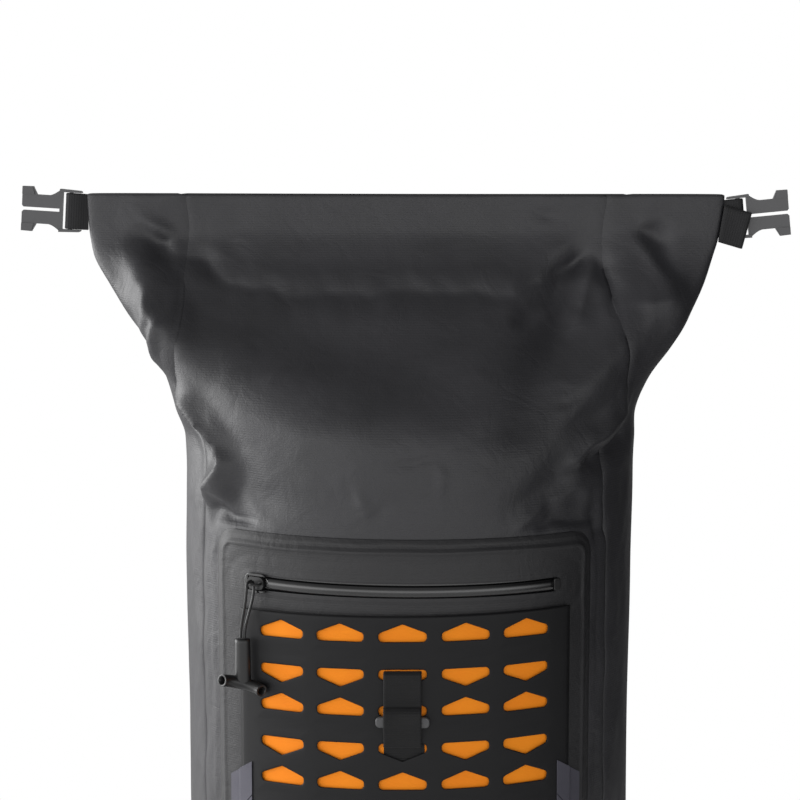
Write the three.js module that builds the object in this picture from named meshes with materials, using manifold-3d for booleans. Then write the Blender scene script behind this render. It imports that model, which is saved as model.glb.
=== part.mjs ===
// A waterproof rolltop backpack standing unrolled: a hollow welded shell whose mouth is pressed
// nearly flat, a zipped front pocket, a slotted lash panel over an orange backing, clip straps at
// the ends of the mouth, clip sockets low on the sides, and padded shoulder straps behind.
// Millimetres, +Z up. The front faces -Y and the origin is the middle of the base.
import * as THREE from "three";
import { mergeVertices } from "three/addons/utils/BufferGeometryUtils.js";
import Module from "manifold-3d";

const wasm = await Module();
wasm.setup();

// Shell
const bagHeight = 680; // base to mouth, unrolled
const bodyHalfWidth = 150; // the filled body, middle to side
const mouthHalfWidth = 212; // the flat mouth, middle to end
const frontDepth = 122; // middle plane to the bulging front
const backDepth = 84; // middle plane to the flatter back
const mouthGap = 12; // clear space between the two sheets of the mouth
const wall = 2; // coated cloth with its welded tape
const frontRoundness = 2.05; // exponent of the section's front half
const backRoundness = 3.3; // exponent of its back half
const mouthRoundness = 4; // exponent of the flat mouth
const baseRound = 22; // radius between the sides and the base
const panelWidth = 300; // front panel and back panel between their seams, along the cloth
const pieceGap = 0.3; // clearance between pieces that touch

// Front pocket and zip
const pocketWidth = 264;
const pocketShift = 1; // the pocket's middle lies this far to the right
const pocketTop = 470; // height of its upper edge
const pocketBottom = 58;
const pocketCorner = 16;
const pocketSheet = 1.5;
const pocketSpace = 1.7; // the flat pocket's space over the front panel
const pocketWeld = 6; // width of the welded border
const borderRidge = 1.2; // how far the border's bead stands above the pocket
const zipHeight = 438; // height of the zip above the base
const zipLength = 204;
const zipShift = 3; // the zip's middle lies this far to the right
const zipSlot = 9; // height of the slot that shows the zip
const zipTapeWidth = 24;
const zipTapeSheet = 0.8;
const zipTapeEnd = 6; // tape past each end of the slot
const zipBeadWidth = 5;
const zipBeadRise = 3;
const zipStopLength = 5;
const sliderLength = 12;
const sliderWidth = 8.2;
const sliderRise = 4.5;
const garageLength = 17; // moulded end that the slider parks in
const garageHeight = 12.5;
const garageSheet = 1.6;
const bailRadius = 3.4; // centre line of the slider's ring
const bailWire = 0.9; // radius of its wire

// Zip pull
const pullCordRadius = 0.9;
const pullBend = 3.6; // radius of its turn over the slider's ring
const pullDrop = 35.5; // zip to the top of the grip
const pullShift = -5.4; // the grip hangs this far to the left of the slider
const gripLength = 29; // top of the grip to the middle of its cross bar
const gripRadius = 4.3;
const gripBarRadius = 3.9; // radius of the cross bar's tube
const gripBarBend = 17; // radius that the cross bar is bent to
const gripBarReach = 50; // degrees of bend each way
const gripHollow = 5; // depth of the hollows in the cross bar's ends
const gripTilt = 14; // degrees that the cross bar hangs off level

// Lash panel
const lashColumns = 5;
const lashPairs = 5; // pairs of an upright and an inverted row of slots, and one more upright row
const slotWidth = 29.4;
const slotHeight = 11;
const slotEndRadius = 3.2;
const slotBar = 17.8; // panel between the straight edges of two rows
const slotPeakGap = 7.8; // panel between the peaks of two rows
const firstSlotBase = 406.4; // height of the top row's straight edge
const lashShift = 2.7; // the lash panel's middle lies this far to the right
const lashSlant = 0.015; // rise of its rows for each millimetre to the right
const lashSideEdge = 11.8; // panel outside the outer cells
const lashMargin = 17.95; // pocket between the lash panel and the pocket's welded border
const lashEndEdge = 1.2;
const lashSheet = 1.5;
const backingSheet = 0.8;
const backingInset = 3; // lash panel past the upper and lower ends of its backing
const layerGap = 0.4; // clearance between sheets laid over each other

// Reflective tape
const tapeWidth = 20;
const tapeTop = 322.5; // height of its upper inner corner
const tapeSlant = 12;
const tapeSheet = 0.5;
const tapeInset = 9.2; // how much of it lies on the lash panel

// Webbing and the gear loop on the lash panel
const webbingWidth = 24;
const webbingSheet = 1.6;
const ringWidth = 34;
const ringRail = 3.5;
const ringThickness = 2.8;

// Clip at each end of the mouth
const clipWebBar = 3; // thickness of the bar that holds the webbing
const clipRailWidth = 2;
const clipRailThickness = 6;
const clipRailBack = 7.3; // rails past the bar, towards the bag
const clipSlotLength = 5.3; // bar to the root of the prongs
const clipRootBar = 2;
const prongLength = 25.4;
const prongThickness = 4;
const prongPad = 5.4; // thickness of the pad at the prong's end
const prongGap = 2.2; // slot between the two prongs
const prongWaist = 9.7; // half width of the clip at the waist of its prongs
const clipReach = 11.9; // bag's edge to the middle of the webbing bar, on the left
const clipDrop = 11; // mouth to the middle of the left clip's bar
const clipTilt = 3.5; // degrees that it points up
const clipReachRight = 11;
const clipDropRight = 14;
const clipTiltRight = 5.7;
const foldTurn = 14.4; // degrees between the right tab's fold and upright
const foldDrop = 9; // middle of the fold below the right clip

// Side strap with the socket that each clip snaps into
const sideStrapTop = 244; // height where the strap is sewn on
const sideStrapLength = 142;
const sideStrapPatch = 26; // length sewn down
const socketLength = 36;
const socketThickness = 10;
const socketWall = 1.8;

// Back: pad, yoke, shoulder straps and haul loop
const backPadWidth = 210;
const backPadTop = 451.7;
const backPadBottom = 120;
const backPadThickness = 12;
const backPadCorner = 24;
const backGap = 0.8; // clearance between the back and what lies on it
const yokeWidth = 188;
const yokeHeight = 44;
const yokeMiddle = backPadTop + pieceGap + yokeHeight / 2; // it lies just above the pad
const yokeSheet = 2;
const strapWidth = 62;
const strapPadding = 11;
const strapBow = 74; // how far a shoulder strap stands off the back
const strapDrop = 10; // middle of the yoke to a strap's upper end
const strapFall = 296; // upper to lower end of a strap's padding
const lockWidth = 34;
const lockLength = 26;
const lockThickness = 4;
const haulLength = 96; // between the two sewn ends
const haulRise = 30;
const lowerWebbingFoot = 44; // height where the straps' lower webbing is sewn on
const lowerWebbingSide = 96; // and its distance from the back's middle
const lowerWebbingSewn = 24; // length sewn down

// Shape of the shell, a row for each height. up is a share of bagHeight. spread runs from 0, the
// body's width, to 1, the mouth's. lean moves the section sideways by a share of bodyHalfWidth.
// fill runs from 0, the mouth's gap, to 1, the full depth, and flat from the body's roundness to
// the mouth's. seam widens the front panel, as a share of its width.
const sections = [
  { up: 0, spread: 0, lean: 0, fill: 1, flat: 0, seam: 1 },
  { up: 0.48, spread: -0.02, lean: -0.006, fill: 0.985, flat: 0, seam: 1.01 },
  { up: 0.64, spread: 0, lean: -0.006, fill: 1, flat: 0, seam: 1.01 },
  { up: 0.735, spread: 0, lean: 0, fill: 0.99, flat: 0, seam: 0.975 },
  { up: 0.765, spread: 0.012, lean: 0, fill: 0.96, flat: 0.02, seam: 1 },
  { up: 0.794, spread: 0.07, lean: -0.02, fill: 0.9, flat: 0.05, seam: 1.13 },
  { up: 0.8235, spread: 0.18, lean: -0.012, fill: 0.8, flat: 0.12, seam: 1.06 },
  { up: 0.853, spread: 0.365, lean: 0, fill: 0.63, flat: 0.22, seam: 1 },
  { up: 0.882, spread: 0.58, lean: -0.01, fill: 0.42, flat: 0.4, seam: 0.955 },
  { up: 0.912, spread: 0.765, lean: -0.02, fill: 0.21, flat: 0.65, seam: 0.935 },
  { up: 0.941, spread: 0.9, lean: -0.034, fill: 0.07, flat: 0.85, seam: 0.92 },
  { up: 0.968, spread: 0.97, lean: -0.03, fill: 0.01, flat: 0.95, seam: 0.915 },
  { up: 1, spread: 1, lean: -0.027, fill: 0, flat: 1, seam: 0.93 },
];

// Dents and folds. along is the place round the cloth from the front's middle, as a share of half
// the panel width, up a share of bagHeight. wide and tall are shares of bodyHalfWidth, rise a share
// of frontDepth, outward if positive, and turn the angle of the fold's long side in degrees.
const folds = [
  { along: -0.39, up: 0.863, wide: 0.62, tall: 0.13, turn: -14, rise: -0.075 },
  { along: 0.11, up: 0.869, wide: 0.5, tall: 0.12, turn: 8, rise: -0.06 },
  { along: 0.7, up: 0.873, wide: 0.13, tall: 0.42, turn: -24, rise: -0.095 },
  { along: 0.47, up: 0.886, wide: 0.12, tall: 0.34, turn: -52, rise: 0.05 },
  { along: -0.09, up: 0.792, wide: 0.5, tall: 0.16, turn: 0, rise: 0.04 },
  { along: -1.15, up: 0.9, wide: 0.09, tall: 0.3, turn: 6, rise: 0.045 },
  { along: -1, up: 0.868, wide: 0.09, tall: 0.26, turn: 8, rise: 0.04 },
  { along: -1.05, up: 0.93, wide: 0.3, tall: 0.07, turn: -16, rise: 0.03 },
  { along: 1.17, up: 0.905, wide: 0.09, tall: 0.36, turn: 38, rise: 0.04 },
  { along: 0.96, up: 0.9, wide: 0.16, tall: 0.2, turn: 0, rise: 0.035 },
  { along: -0.84, up: 0.725, wide: 0.13, tall: 0.22, turn: 12, rise: 0.035 },
  { along: -0.59, up: 0.701, wide: 0.1, tall: 0.34, turn: 40, rise: -0.04 },
  { along: 0.63, up: 0.721, wide: 0.1, tall: 0.4, turn: -38, rise: -0.05 },
  { along: 0.84, up: 0.7, wide: 0.14, tall: 0.2, turn: 0, rise: -0.045 },
];

const sectionSteps = 360;
const mouthHalfThickness = mouthGap / 2 + wall;
const seamAt = panelWidth / 2;

const colours = {
  cloth: { color: 0x2b2b2d, roughness: 0.45, metalness: 0 },
  smooth: { color: 0x1a1a1c, roughness: 0.5, metalness: 0 },
  orange: { color: 0xf08c1e, roughness: 0.6, metalness: 0 },
  zip: { color: 0x151515, roughness: 0.25, metalness: 0 },
  webbing: { color: 0x1c1c1e, roughness: 0.85, metalness: 0 },
  plastic: { color: 0x3a3a3c, roughness: 0.4, metalness: 0 },
  tape: { color: 0x575761, roughness: 0.35, metalness: 0.3 },
  mesh: { color: 0x202022, roughness: 0.9, metalness: 0 },
};

function tableValue(column, up) {
  const last = sections.length - 1;
  const slope = (i) => (sections[i + 1][column] - sections[i][column]) / (sections[i + 1].up - sections[i].up);
  const tangent = (i) => {
    if (i === 0 || i === last) return 0;
    const before = slope(i - 1);
    const after = slope(i);
    return before * after <= 0 ? 0 : (2 * before * after) / (before + after);
  };
  let i = 0;
  while (i < last - 1 && up > sections[i + 1].up) i++;
  const run = sections[i + 1].up - sections[i].up;
  const t = THREE.MathUtils.clamp((up - sections[i].up) / run, 0, 1);
  const ease = t * t * (3 - 2 * t);
  const leave = t * (1 - t) * (1 - t) * run * tangent(i);
  const arrive = t * t * (t - 1) * run * tangent(i + 1);
  return sections[i][column] * (1 - ease) + sections[i + 1][column] * ease + leave + arrive;
}

// The shell's outline at a height, taken in by an inset, as points with outward normals and the
// length of cloth up to each point. It starts and ends at the middle of the back.
const sectionCache = new Map();
function sectionAt(z, inset) {
  const key = z.toFixed(4) + "/" + inset.toFixed(4);
  if (sectionCache.has(key)) return sectionCache.get(key);
  const up = z / bagHeight;
  const fill = tableValue("fill", up);
  const flat = tableValue("flat", up);
  const spread = tableValue("spread", up);
  const halfWidth = bodyHalfWidth + (mouthHalfWidth - bodyHalfWidth) * spread - inset;
  const middle = tableValue("lean", up) * bodyHalfWidth;
  const sides = [
    { depth: frontDepth, roundness: frontRoundness },
    { depth: backDepth, roundness: backRoundness },
  ].map((side) => ({
    depth: mouthHalfThickness + (side.depth - mouthHalfThickness) * fill - inset,
    power: 2 / (side.roundness + (mouthRoundness - side.roundness) * flat),
  }));
  const points = [];
  const lengths = [0];
  for (let i = 0; i <= sectionSteps; i++) {
    const turn = -Math.PI + (2 * Math.PI * i) / sectionSteps;
    const side = Math.abs(turn) < Math.PI / 2 ? sides[0] : sides[1];
    const across = Math.abs(Math.sin(turn)) < 1e-9 ? 0 : Math.sin(turn);
    const out = Math.abs(Math.cos(turn)) < 1e-9 ? 0 : Math.cos(turn);
    const x = middle + halfWidth * Math.sign(across) * Math.abs(across) ** side.power;
    const y = -side.depth * Math.sign(out) * Math.abs(out) ** side.power;
    points.push(new THREE.Vector2(x, y));
    if (i) lengths.push(lengths[i - 1] + points[i].distanceTo(points[i - 1]));
  }
  const normals = points.map((point, i) => {
    const before = points[i ? i - 1 : sectionSteps - 1];
    const after = points[i < sectionSteps ? i + 1 : 1];
    return new THREE.Vector2(after.y - before.y, before.x - after.x).normalize();
  });
  const made = { points, normals, lengths, girth: lengths[sectionSteps] };
  sectionCache.set(key, made);
  return made;
}

function alongSection(section, along) {
  const goal = THREE.MathUtils.euclideanModulo(along + section.girth / 2, section.girth);
  let low = 0;
  let high = sectionSteps;
  while (high - low > 1) {
    const mid = (low + high) >> 1;
    if (section.lengths[mid] <= goal) low = mid;
    else high = mid;
  }
  const share = (goal - section.lengths[low]) / (section.lengths[high] - section.lengths[low] || 1);
  return {
    point: section.points[low].clone().lerp(section.points[high], share),
    normal: section.normals[low].clone().lerp(section.normals[high], share).normalize(),
  };
}

// Nothing folds below the top of the welded pocket.
function relief(along, z) {
  const free = THREE.MathUtils.smoothstep(z, pocketTop + 2, pocketTop + 28);
  return free * folds.reduce((sum, fold) => {
    const turn = THREE.MathUtils.degToRad(fold.turn);
    const side = along - fold.along * seamAt;
    const rise = z - fold.up * bagHeight;
    const across = (side * Math.cos(turn) + rise * Math.sin(turn)) / (fold.wide * bodyHalfWidth);
    const up = (rise * Math.cos(turn) - side * Math.sin(turn)) / (fold.tall * bodyHalfWidth);
    return sum + fold.rise * frontDepth * Math.exp(-across * across - up * up);
  }, 0);
}

// A point of the shell. along is measured round the uncut outline, from the front's middle.
function shellPoint(along, z, inset = 0, ownZ = z) {
  const outline = sectionAt(z, 0);
  const inner = sectionAt(z, inset);
  const { normal } = alongSection(outline, along);
  const { point } = alongSection(inner, (along * inner.girth) / outline.girth);
  point.addScaledVector(normal, relief(along, z));
  return new THREE.Vector3(point.x, point.y, ownZ);
}

// A point that stands off the shell, for what lies on its front.
function overShell(along, z, lift) {
  const { point, normal } = alongSection(sectionAt(z, 0), along);
  point.addScaledVector(normal, lift + relief(along, z));
  return new THREE.Vector3(point.x, point.y, z);
}

// The same from the back's middle, positive towards +X.
const overBack = (side, z, lift) => overShell(sectionAt(z, 0).girth / 2 - side, z, lift);

function geometryOf(corners, triangles) {
  const geometry = new THREE.BufferGeometry();
  const positions = corners.flatMap((point) => [point.x, point.y, point.z]);
  geometry.setAttribute("position", new THREE.Float32BufferAttribute(positions, 3));
  geometry.setIndex(triangles.flat());
  return mergeVertices(geometry, 1e-4);
}

// Turns every face round if the closed surface faces inwards.
function outwards(geometry) {
  const { position } = geometry.attributes;
  const list = geometry.index.array;
  const at = (i) => new THREE.Vector3().fromBufferAttribute(position, list[i]);
  let volume = 0;
  for (let i = 0; i < list.length; i += 3) volume += at(i).dot(at(i + 1).cross(at(i + 2)));
  if (volume < 0) {
    for (let i = 0; i < list.length; i += 3) [list[i + 1], list[i + 2]] = [list[i + 2], list[i + 1]];
  }
  return geometry;
}

// A closed sheet between an outer and an inner copy of the same net of four-cornered cells. Each
// cell lists its corners anticlockwise as seen from outside. Every edge of one cell only is walled.
function sheetOf(outer, inner, cells) {
  const key = (a, b) => a + ">" + b;
  const sides = (cell) => cell.map((corner, i) => [corner, cell[(i + 1) % 4]]);
  const used = new Set(cells.flatMap(sides).map(([a, b]) => key(a, b)));
  const under = outer.length;
  const triangles = cells.flatMap(([a, b, c, d]) => [
    [a, b, c], [a, c, d], [a + under, c + under, b + under], [a + under, d + under, c + under],
  ]);
  for (const [a, b] of cells.flatMap(sides).filter(([from, to]) => !used.has(key(to, from)))) {
    triangles.push([a, a + under, b + under], [a, b + under, b]);
  }
  return geometryOf([...outer, ...inner], triangles);
}

// Rows run up and columns run to the right as seen from outside. keep() drops cells.
function gridSheet(outer, inner, keep = () => true) {
  const width = outer[0].length;
  const cells = [];
  for (let r = 0; r + 1 < outer.length; r++) {
    for (let c = 0; c + 1 < width; c++) {
      const corner = r * width + c;
      if (keep(r, c)) cells.push([corner, corner + 1, corner + width + 1, corner + width]);
    }
  }
  return sheetOf(outer.flat(), inner.flat(), cells);
}

// A strap along a path of middles. across points over its width at each, or once for all. The
// section is a rectangle, with its corners cut if edge is more than 0.
function strapAlong(path, across, width, thick, edge = 0) {
  const halfWidth = width / 2;
  const halfThick = thick / 2;
  const section = edge
    ? [[-1, 1], [1, 1], [1, -1], [-1, -1]].flatMap(([x, y], i) => {
      const long = [x * (halfWidth - edge), y * halfThick];
      const short = [x * halfWidth, y * (halfThick - edge)];
      return i % 2 ? [long, short] : [short, long];
    })
    : [[-halfWidth, halfThick], [halfWidth, halfThick], [halfWidth, -halfThick], [-halfWidth, -halfThick]];
  const corners = path.flatMap((middle, i) => {
    const ahead = path[Math.min(i + 1, path.length - 1)].clone().sub(path[Math.max(i - 1, 0)]);
    const side = (Array.isArray(across) ? across[i] : across).clone().normalize();
    const out = ahead.cross(side).normalize();
    return section.map(([x, y]) => middle.clone().addScaledVector(side, x).addScaledVector(out, y));
  });
  const size = section.length;
  const triangles = [];
  for (let i = 0; i + 1 < path.length; i++) {
    for (let j = 0; j < size; j++) {
      const a = i * size + j;
      const b = i * size + ((j + 1) % size);
      triangles.push([a, b, b + size], [a, b + size, a + size]);
    }
  }
  const end = (path.length - 1) * size;
  for (let j = 1; j + 1 < size; j++) triangles.push([0, j + 1, j], [end, end + j, end + j + 1]);
  return outwards(geometryOf(corners, triangles));
}

function solidOf(geometry) {
  const bare = new THREE.BufferGeometry().setAttribute("position", geometry.getAttribute("position"));
  if (geometry.index) bare.setIndex(geometry.index);
  const merged = mergeVertices(bare, 1e-4);
  return new wasm.Manifold(new wasm.Mesh({
    numProp: 3,
    vertProperties: new Float32Array(merged.attributes.position.array),
    triVerts: new Uint32Array(merged.index.array),
  }));
}

function geometryFrom(solid) {
  const mesh = solid.getMesh();
  const geometry = new THREE.BufferGeometry();
  geometry.setAttribute("position", new THREE.BufferAttribute(new Float32Array(mesh.vertProperties), 3));
  geometry.setIndex(new THREE.BufferAttribute(new Uint32Array(mesh.triVerts), 1));
  return geometry;
}

const join = (...parts) => geometryFrom(parts.map(solidOf).reduce((whole, part) => whole.add(part)));
const cut = (whole, ...tools) => geometryFrom(
  tools.map(solidOf).reduce((left, tool) => left.subtract(tool), solidOf(whole)),
);
const box = (width, depth, height) => new THREE.BoxGeometry(width, depth, height);
const steps = (from, to, count) => (
  Array.from({ length: count + 1 }, (_, i) => from + ((to - from) * i) / count)
);

// A flat outline in x and z, with its thickness centred on the plane between them.
function plateOf(outline, thick) {
  const shape = outline instanceof THREE.Shape ? outline : new THREE.Shape(outline);
  return new THREE.ExtrudeGeometry(shape, { depth: thick, bevelEnabled: false, curveSegments: 4 })
    .rotateX(Math.PI / 2).translate(0, thick / 2, 0);
}

function roundedRect(width, height, radius) {
  const x = width / 2 - radius;
  const y = height / 2 - radius;
  return new THREE.Shape()
    .absarc(x, y, radius, 0, Math.PI / 2)
    .absarc(-x, y, radius, Math.PI / 2, Math.PI)
    .absarc(-x, -y, radius, Math.PI, 1.5 * Math.PI)
    .absarc(x, -y, radius, 1.5 * Math.PI, 2 * Math.PI);
}

// Shell panels

const halfGap = pieceGap / 2;
const wallRows = [0.25, 0.48, 0.6, 0.66, 0.7, 0.735, 0.765, 0.794, 0.82, 0.847, 0.874, 0.9, 0.935, 0.975,
  1].map((up) => ({ z: up * bagHeight, inset: 0, innerZ: up * bagHeight, innerInset: wall }));
const baseRows = [90, 60, 30, 0].map((degrees) => {
  const turn = THREE.MathUtils.degToRad(degrees);
  const inner = baseRound - wall;
  return {
    z: baseRound * (1 - Math.sin(turn)),
    inset: baseRound * (1 - Math.cos(turn)),
    innerZ: baseRound - inner * Math.sin(turn),
    innerInset: baseRound - inner * Math.cos(turn),
  };
});
const shellRows = [...baseRows, ...wallRows];

// placesAt gives where a row's columns lie along the cloth, from half the girth.
function shellPanel(placesAt) {
  const gridOf = (inset, ownZ) => shellRows.map((row) => (
    placesAt(sectionAt(row.z, 0), row.z).map((along) => shellPoint(along, row.z, row[inset], row[ownZ]))
  ));
  return gridSheet(gridOf("inset", "z"), gridOf("innerInset", "innerZ"));
}

// The length of cloth from the front's middle to the section's widest point.
const tipAt = (section) => section.lengths[(sectionSteps * 3) / 4] - section.girth / 2;

const frontSeam = (z) => seamAt * tableValue("seam", z / bagHeight);

function gussetPlaces(section, z, side) {
  const tip = tipAt(section);
  const seam = frontSeam(z) + halfGap;
  const toTip = [0, 0.3, 0.6, 0.88, 1].map((share) => seam + share * (tip - seam));
  const back = section.girth / 2 - seamAt - halfGap;
  const fromTip = [0.12, 0.4, 0.7, 1].map((share) => tip + share * (back - tip));
  const places = [...toTip, ...fromTip];
  return side > 0 ? places : places.map((along) => -along).reverse();
}

const frontPlaces = (z) => steps(halfGap - frontSeam(z), frontSeam(z) - halfGap, 16);
const backPlaces = (section) => (
  steps(halfGap - seamAt, seamAt - halfGap, 12).map((side) => section.girth / 2 + side)
);

const frontPanel = () => shellPanel((section, z) => frontPlaces(z));
const backPanel = () => shellPanel(backPlaces);
const gusset = (side) => shellPanel((section, z) => gussetPlaces(section, z, side));

// The base has the same corners as the panels round it.
function basePanel() {
  const section = sectionAt(0, 0);
  const places = [...frontPlaces(0), ...gussetPlaces(section, 0, 1), ...backPlaces(section),
    ...gussetPlaces(section, 0, -1)];
  const outline = places.map((along) => {
    const { x, y } = shellPoint(along, 0, baseRound + pieceGap);
    return new THREE.Vector2(x, y);
  });
  return new THREE.ExtrudeGeometry(new THREE.Shape(outline), { depth: wall, bevelEnabled: false });
}

// Patches laid on the front or the back, with rounded corners

function patch({ half, low, high, corner, border, rows, columns, surface, outer, inner }) {
  const sideAt = (z) => {
    const short = Math.max(0, corner - Math.min(z - low, high - z));
    return half - (corner - Math.sqrt(corner ** 2 - short ** 2));
  };
  const grid = (lift) => rows.map((z, r) => {
    const side = sideAt(z);
    const places = [-side, border / 2 - side, border - side, ...columns(side - border),
      side - border, side - border / 2, side];
    const fromEdge = (c) => Math.min(2, r, c, rows.length - 1 - r, places.length - 1 - c);
    return places.map((along, c) => surface(along, z, lift[fromEdge(c)]));
  });
  return { outer: grid(outer), inner: grid(inner) };
}

const edgeRows = (low, high, border, corner) => ({
  bottom: [low, low + border / 2, low + border, low + corner],
  top: [high - corner, high - border, high - border / 2, high],
});

// Pocket

const zipLeft = zipShift - zipLength / 2;
const zipRight = zipShift + zipLength / 2;
const slotColumns = steps(zipLeft, zipRight, 10);
const pocketColumns = slotColumns.map((along) => along - pocketShift);
const pocketFace = pocketSpace + pocketSheet;

function pocketPanel() {
  const { bottom, top } = edgeRows(pocketBottom, pocketTop, pocketWeld, pocketCorner);
  const slotLow = zipHeight - zipSlot / 2;
  const rows = [...bottom, 0.25 * bagHeight, 0.48 * bagHeight, 0.6 * bagHeight, slotLow,
    zipHeight + zipSlot / 2, ...top];
  const slotRow = rows.indexOf(slotLow);
  const { outer, inner } = patch({
    half: pocketWidth / 2,
    low: pocketBottom,
    high: pocketTop,
    corner: pocketCorner,
    border: pocketWeld,
    rows,
    columns: () => pocketColumns,
    surface: (along, z, lift) => overShell(along + pocketShift, z, lift),
    outer: [pocketSheet / 2, pocketFace + borderRidge, pocketFace],
    inner: [layerGap, layerGap, pocketSpace],
  });
  return gridSheet(outer, inner, (r, c) => r !== slotRow || c < 3 || c >= 3 + slotColumns.length - 1);
}

function bandOnFront(places, heights, lift, sheet, surface = overShell) {
  const grid = (rise) => heights.map((z) => places.map((along) => surface(along, z, lift + rise)));
  return gridSheet(grid(sheet), grid(0));
}

const tapeFace = layerGap + zipTapeSheet;
const beadLift = tapeFace + pieceGap + zipBeadRise / 2;

const zipTape = () => bandOnFront(
  [zipLeft - zipTapeEnd, ...slotColumns, zipRight + zipTapeEnd],
  [zipHeight - zipTapeWidth / 2, zipHeight + zipTapeWidth / 2],
  layerGap,
  zipTapeSheet,
);

function zipBead() {
  const from = zipLeft + sliderLength + 2 * pieceGap;
  const to = zipRight - zipStopLength - 2 * pieceGap;
  const path = steps(from, to, 12).map((along) => overShell(along, zipHeight, beadLift));
  return strapAlong(path, new THREE.Vector3(0, 0, 1), zipBeadWidth, zipBeadRise, zipBeadRise * 0.3);
}

// Stands a piece on the front: its x runs to the right, -y outwards and z up.
function standing(geometry, along, z, lift) {
  const { normal } = alongSection(sectionAt(z, 0), along);
  const spot = overShell(along, z, lift);
  const turn = Math.atan2(normal.x, -normal.y);
  return geometry.clone().rotateZ(turn).translate(spot.x, spot.y, spot.z);
}

const stopHeight = zipSlot - 3 * pieceGap;
const zipStop = () => standing(
  plateOf(roundedRect(zipStopLength, stopHeight, 1.5), zipBeadRise),
  zipRight - zipStopLength / 2 - pieceGap,
  zipHeight,
  beadLift,
);

const sliderAt = zipLeft + sliderLength / 2 + pieceGap;
const sliderTop = tapeFace + pieceGap + sliderRise;
const bailLift = sliderTop + bailRadius * 0.55;

function zipSlider() {
  const body = plateOf(roundedRect(sliderLength, sliderWidth, 3), sliderRise).translate(0, sliderRise / 2, 0);
  const bail = new THREE.TorusGeometry(bailRadius, bailWire, 6, 12).scale(1.35, 1, 1)
    .translate(0, bailRadius * -0.55, 0);
  return standing(join(body, bail), sliderAt, zipHeight, sliderTop);
}

function zipGarage() {
  const outline = roundedRect(garageLength, garageHeight, garageHeight / 3);
  const opening = [[-sliderLength / 2, 1], [-sliderLength / 2, -1], [garageLength, -1], [garageLength, 1]]
    .map(([x, z]) => new THREE.Vector2(x, z * (zipSlot / 2)));
  const plate = cut(plateOf(outline, garageSheet), plateOf(opening, 2 * garageSheet));
  return standing(plate, sliderAt, zipHeight, pocketFace + layerGap + garageSheet);
}

// Zip pull: a cord over the slider's ring and a moulded grip

const gripSpot = overShell(sliderAt + pullShift, zipHeight - pullDrop, lashFace() + gripBarRadius + 2);

function pullCord() {
  const ring = overShell(sliderAt, zipHeight, bailLift + bailRadius);
  const spread = pullCordRadius + pieceGap;
  const top = ring.z + bailWire + pieceGap + pullCordRadius - pullBend;
  const leg = (side) => new THREE.Vector3(gripSpot.x + side * spread, gripSpot.y, gripSpot.z + 2 * pieceGap);
  const overRing = steps(-1, 1, 4).map((share) => {
    const turn = (share * Math.PI) / 2;
    return new THREE.Vector3(
      ring.x + spread * share,
      ring.y + pullBend * Math.sin(turn),
      top + pullBend * Math.cos(turn),
    );
  });
  const curve = new THREE.CatmullRomCurve3([
    leg(-1),
    new THREE.Vector3(gripSpot.x - spread, ring.y - pullBend, ring.z - pullDrop / 2),
    ...overRing,
    new THREE.Vector3(gripSpot.x + 2 * spread, ring.y + pullBend / 2, ring.z - pullDrop / 2),
    leg(1),
  ]);
  const outline = new THREE.Shape(steps(0, 2 * Math.PI, 5).slice(0, -1).map((turn) => (
    new THREE.Vector2(pullCordRadius * Math.cos(turn), pullCordRadius * Math.sin(turn))
  )));
  return new THREE.ExtrudeGeometry(outline, { steps: 24, extrudePath: curve });
}

// The bar is bent in the plane that faces out, so that its open ends look forward.
function barPath(from, to) {
  return new THREE.CatmullRomCurve3(steps(from, to, 6).map((degrees) => {
    const turn = THREE.MathUtils.degToRad(degrees);
    return new THREE.Vector3(gripBarBend * Math.sin(turn), gripBarBend * (Math.cos(turn) - 1), 0);
  }));
}

function tube(path, radius, count) {
  const outline = new THREE.Shape(steps(0, 2 * Math.PI, 8).slice(0, -1).map((turn) => (
    new THREE.Vector2(radius * Math.cos(turn), radius * Math.sin(turn))
  )));
  return new THREE.ExtrudeGeometry(outline, { steps: count, extrudePath: path });
}

function pullGrip() {
  const stem = new THREE.CylinderGeometry(gripRadius, gripRadius * 1.15, gripLength, 10)
    .rotateX(Math.PI / 2).scale(1.15, 0.8, 1).translate(0, 0, -gripLength / 2);
  const hollow = (gripHollow / gripBarBend) * (180 / Math.PI);
  const bar = cut(
    tube(barPath(-gripBarReach, gripBarReach), gripBarRadius, 6),
    tube(barPath(-gripBarReach - 2, hollow - gripBarReach), gripBarRadius * 0.62, 2),
    tube(barPath(gripBarReach - hollow, gripBarReach + 2), gripBarRadius * 0.62, 2),
  );
  bar.rotateY(THREE.MathUtils.degToRad(gripTilt)).translate(0, 0, -gripLength);
  return join(stem, bar).translate(gripSpot.x, gripSpot.y, gripSpot.z);
}

// Lash panel

// A point over the front in the lash panel's own place and slant
const overLash = (along, z, lift) => overShell(along + lashShift, z + lashSlant * along, lift);

function lashFace() {
  return pocketFace + layerGap + backingSheet + layerGap + lashSheet;
}

const slotSpacing = (pocketWidth - 2 * (pocketWeld + lashMargin + lashSideEdge)) / lashColumns;
const rowStep = (slotHeight * 2 + slotBar + slotPeakGap) / 2;
const lashRowsTotal = 2 * lashPairs + 1;
const lashTop = firstSlotBase + slotHeight + slotPeakGap / 2;
const lashBottom = lashTop - lashRowsTotal * rowStep;
const lashHalf = (lashColumns * slotSpacing) / 2;

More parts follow.
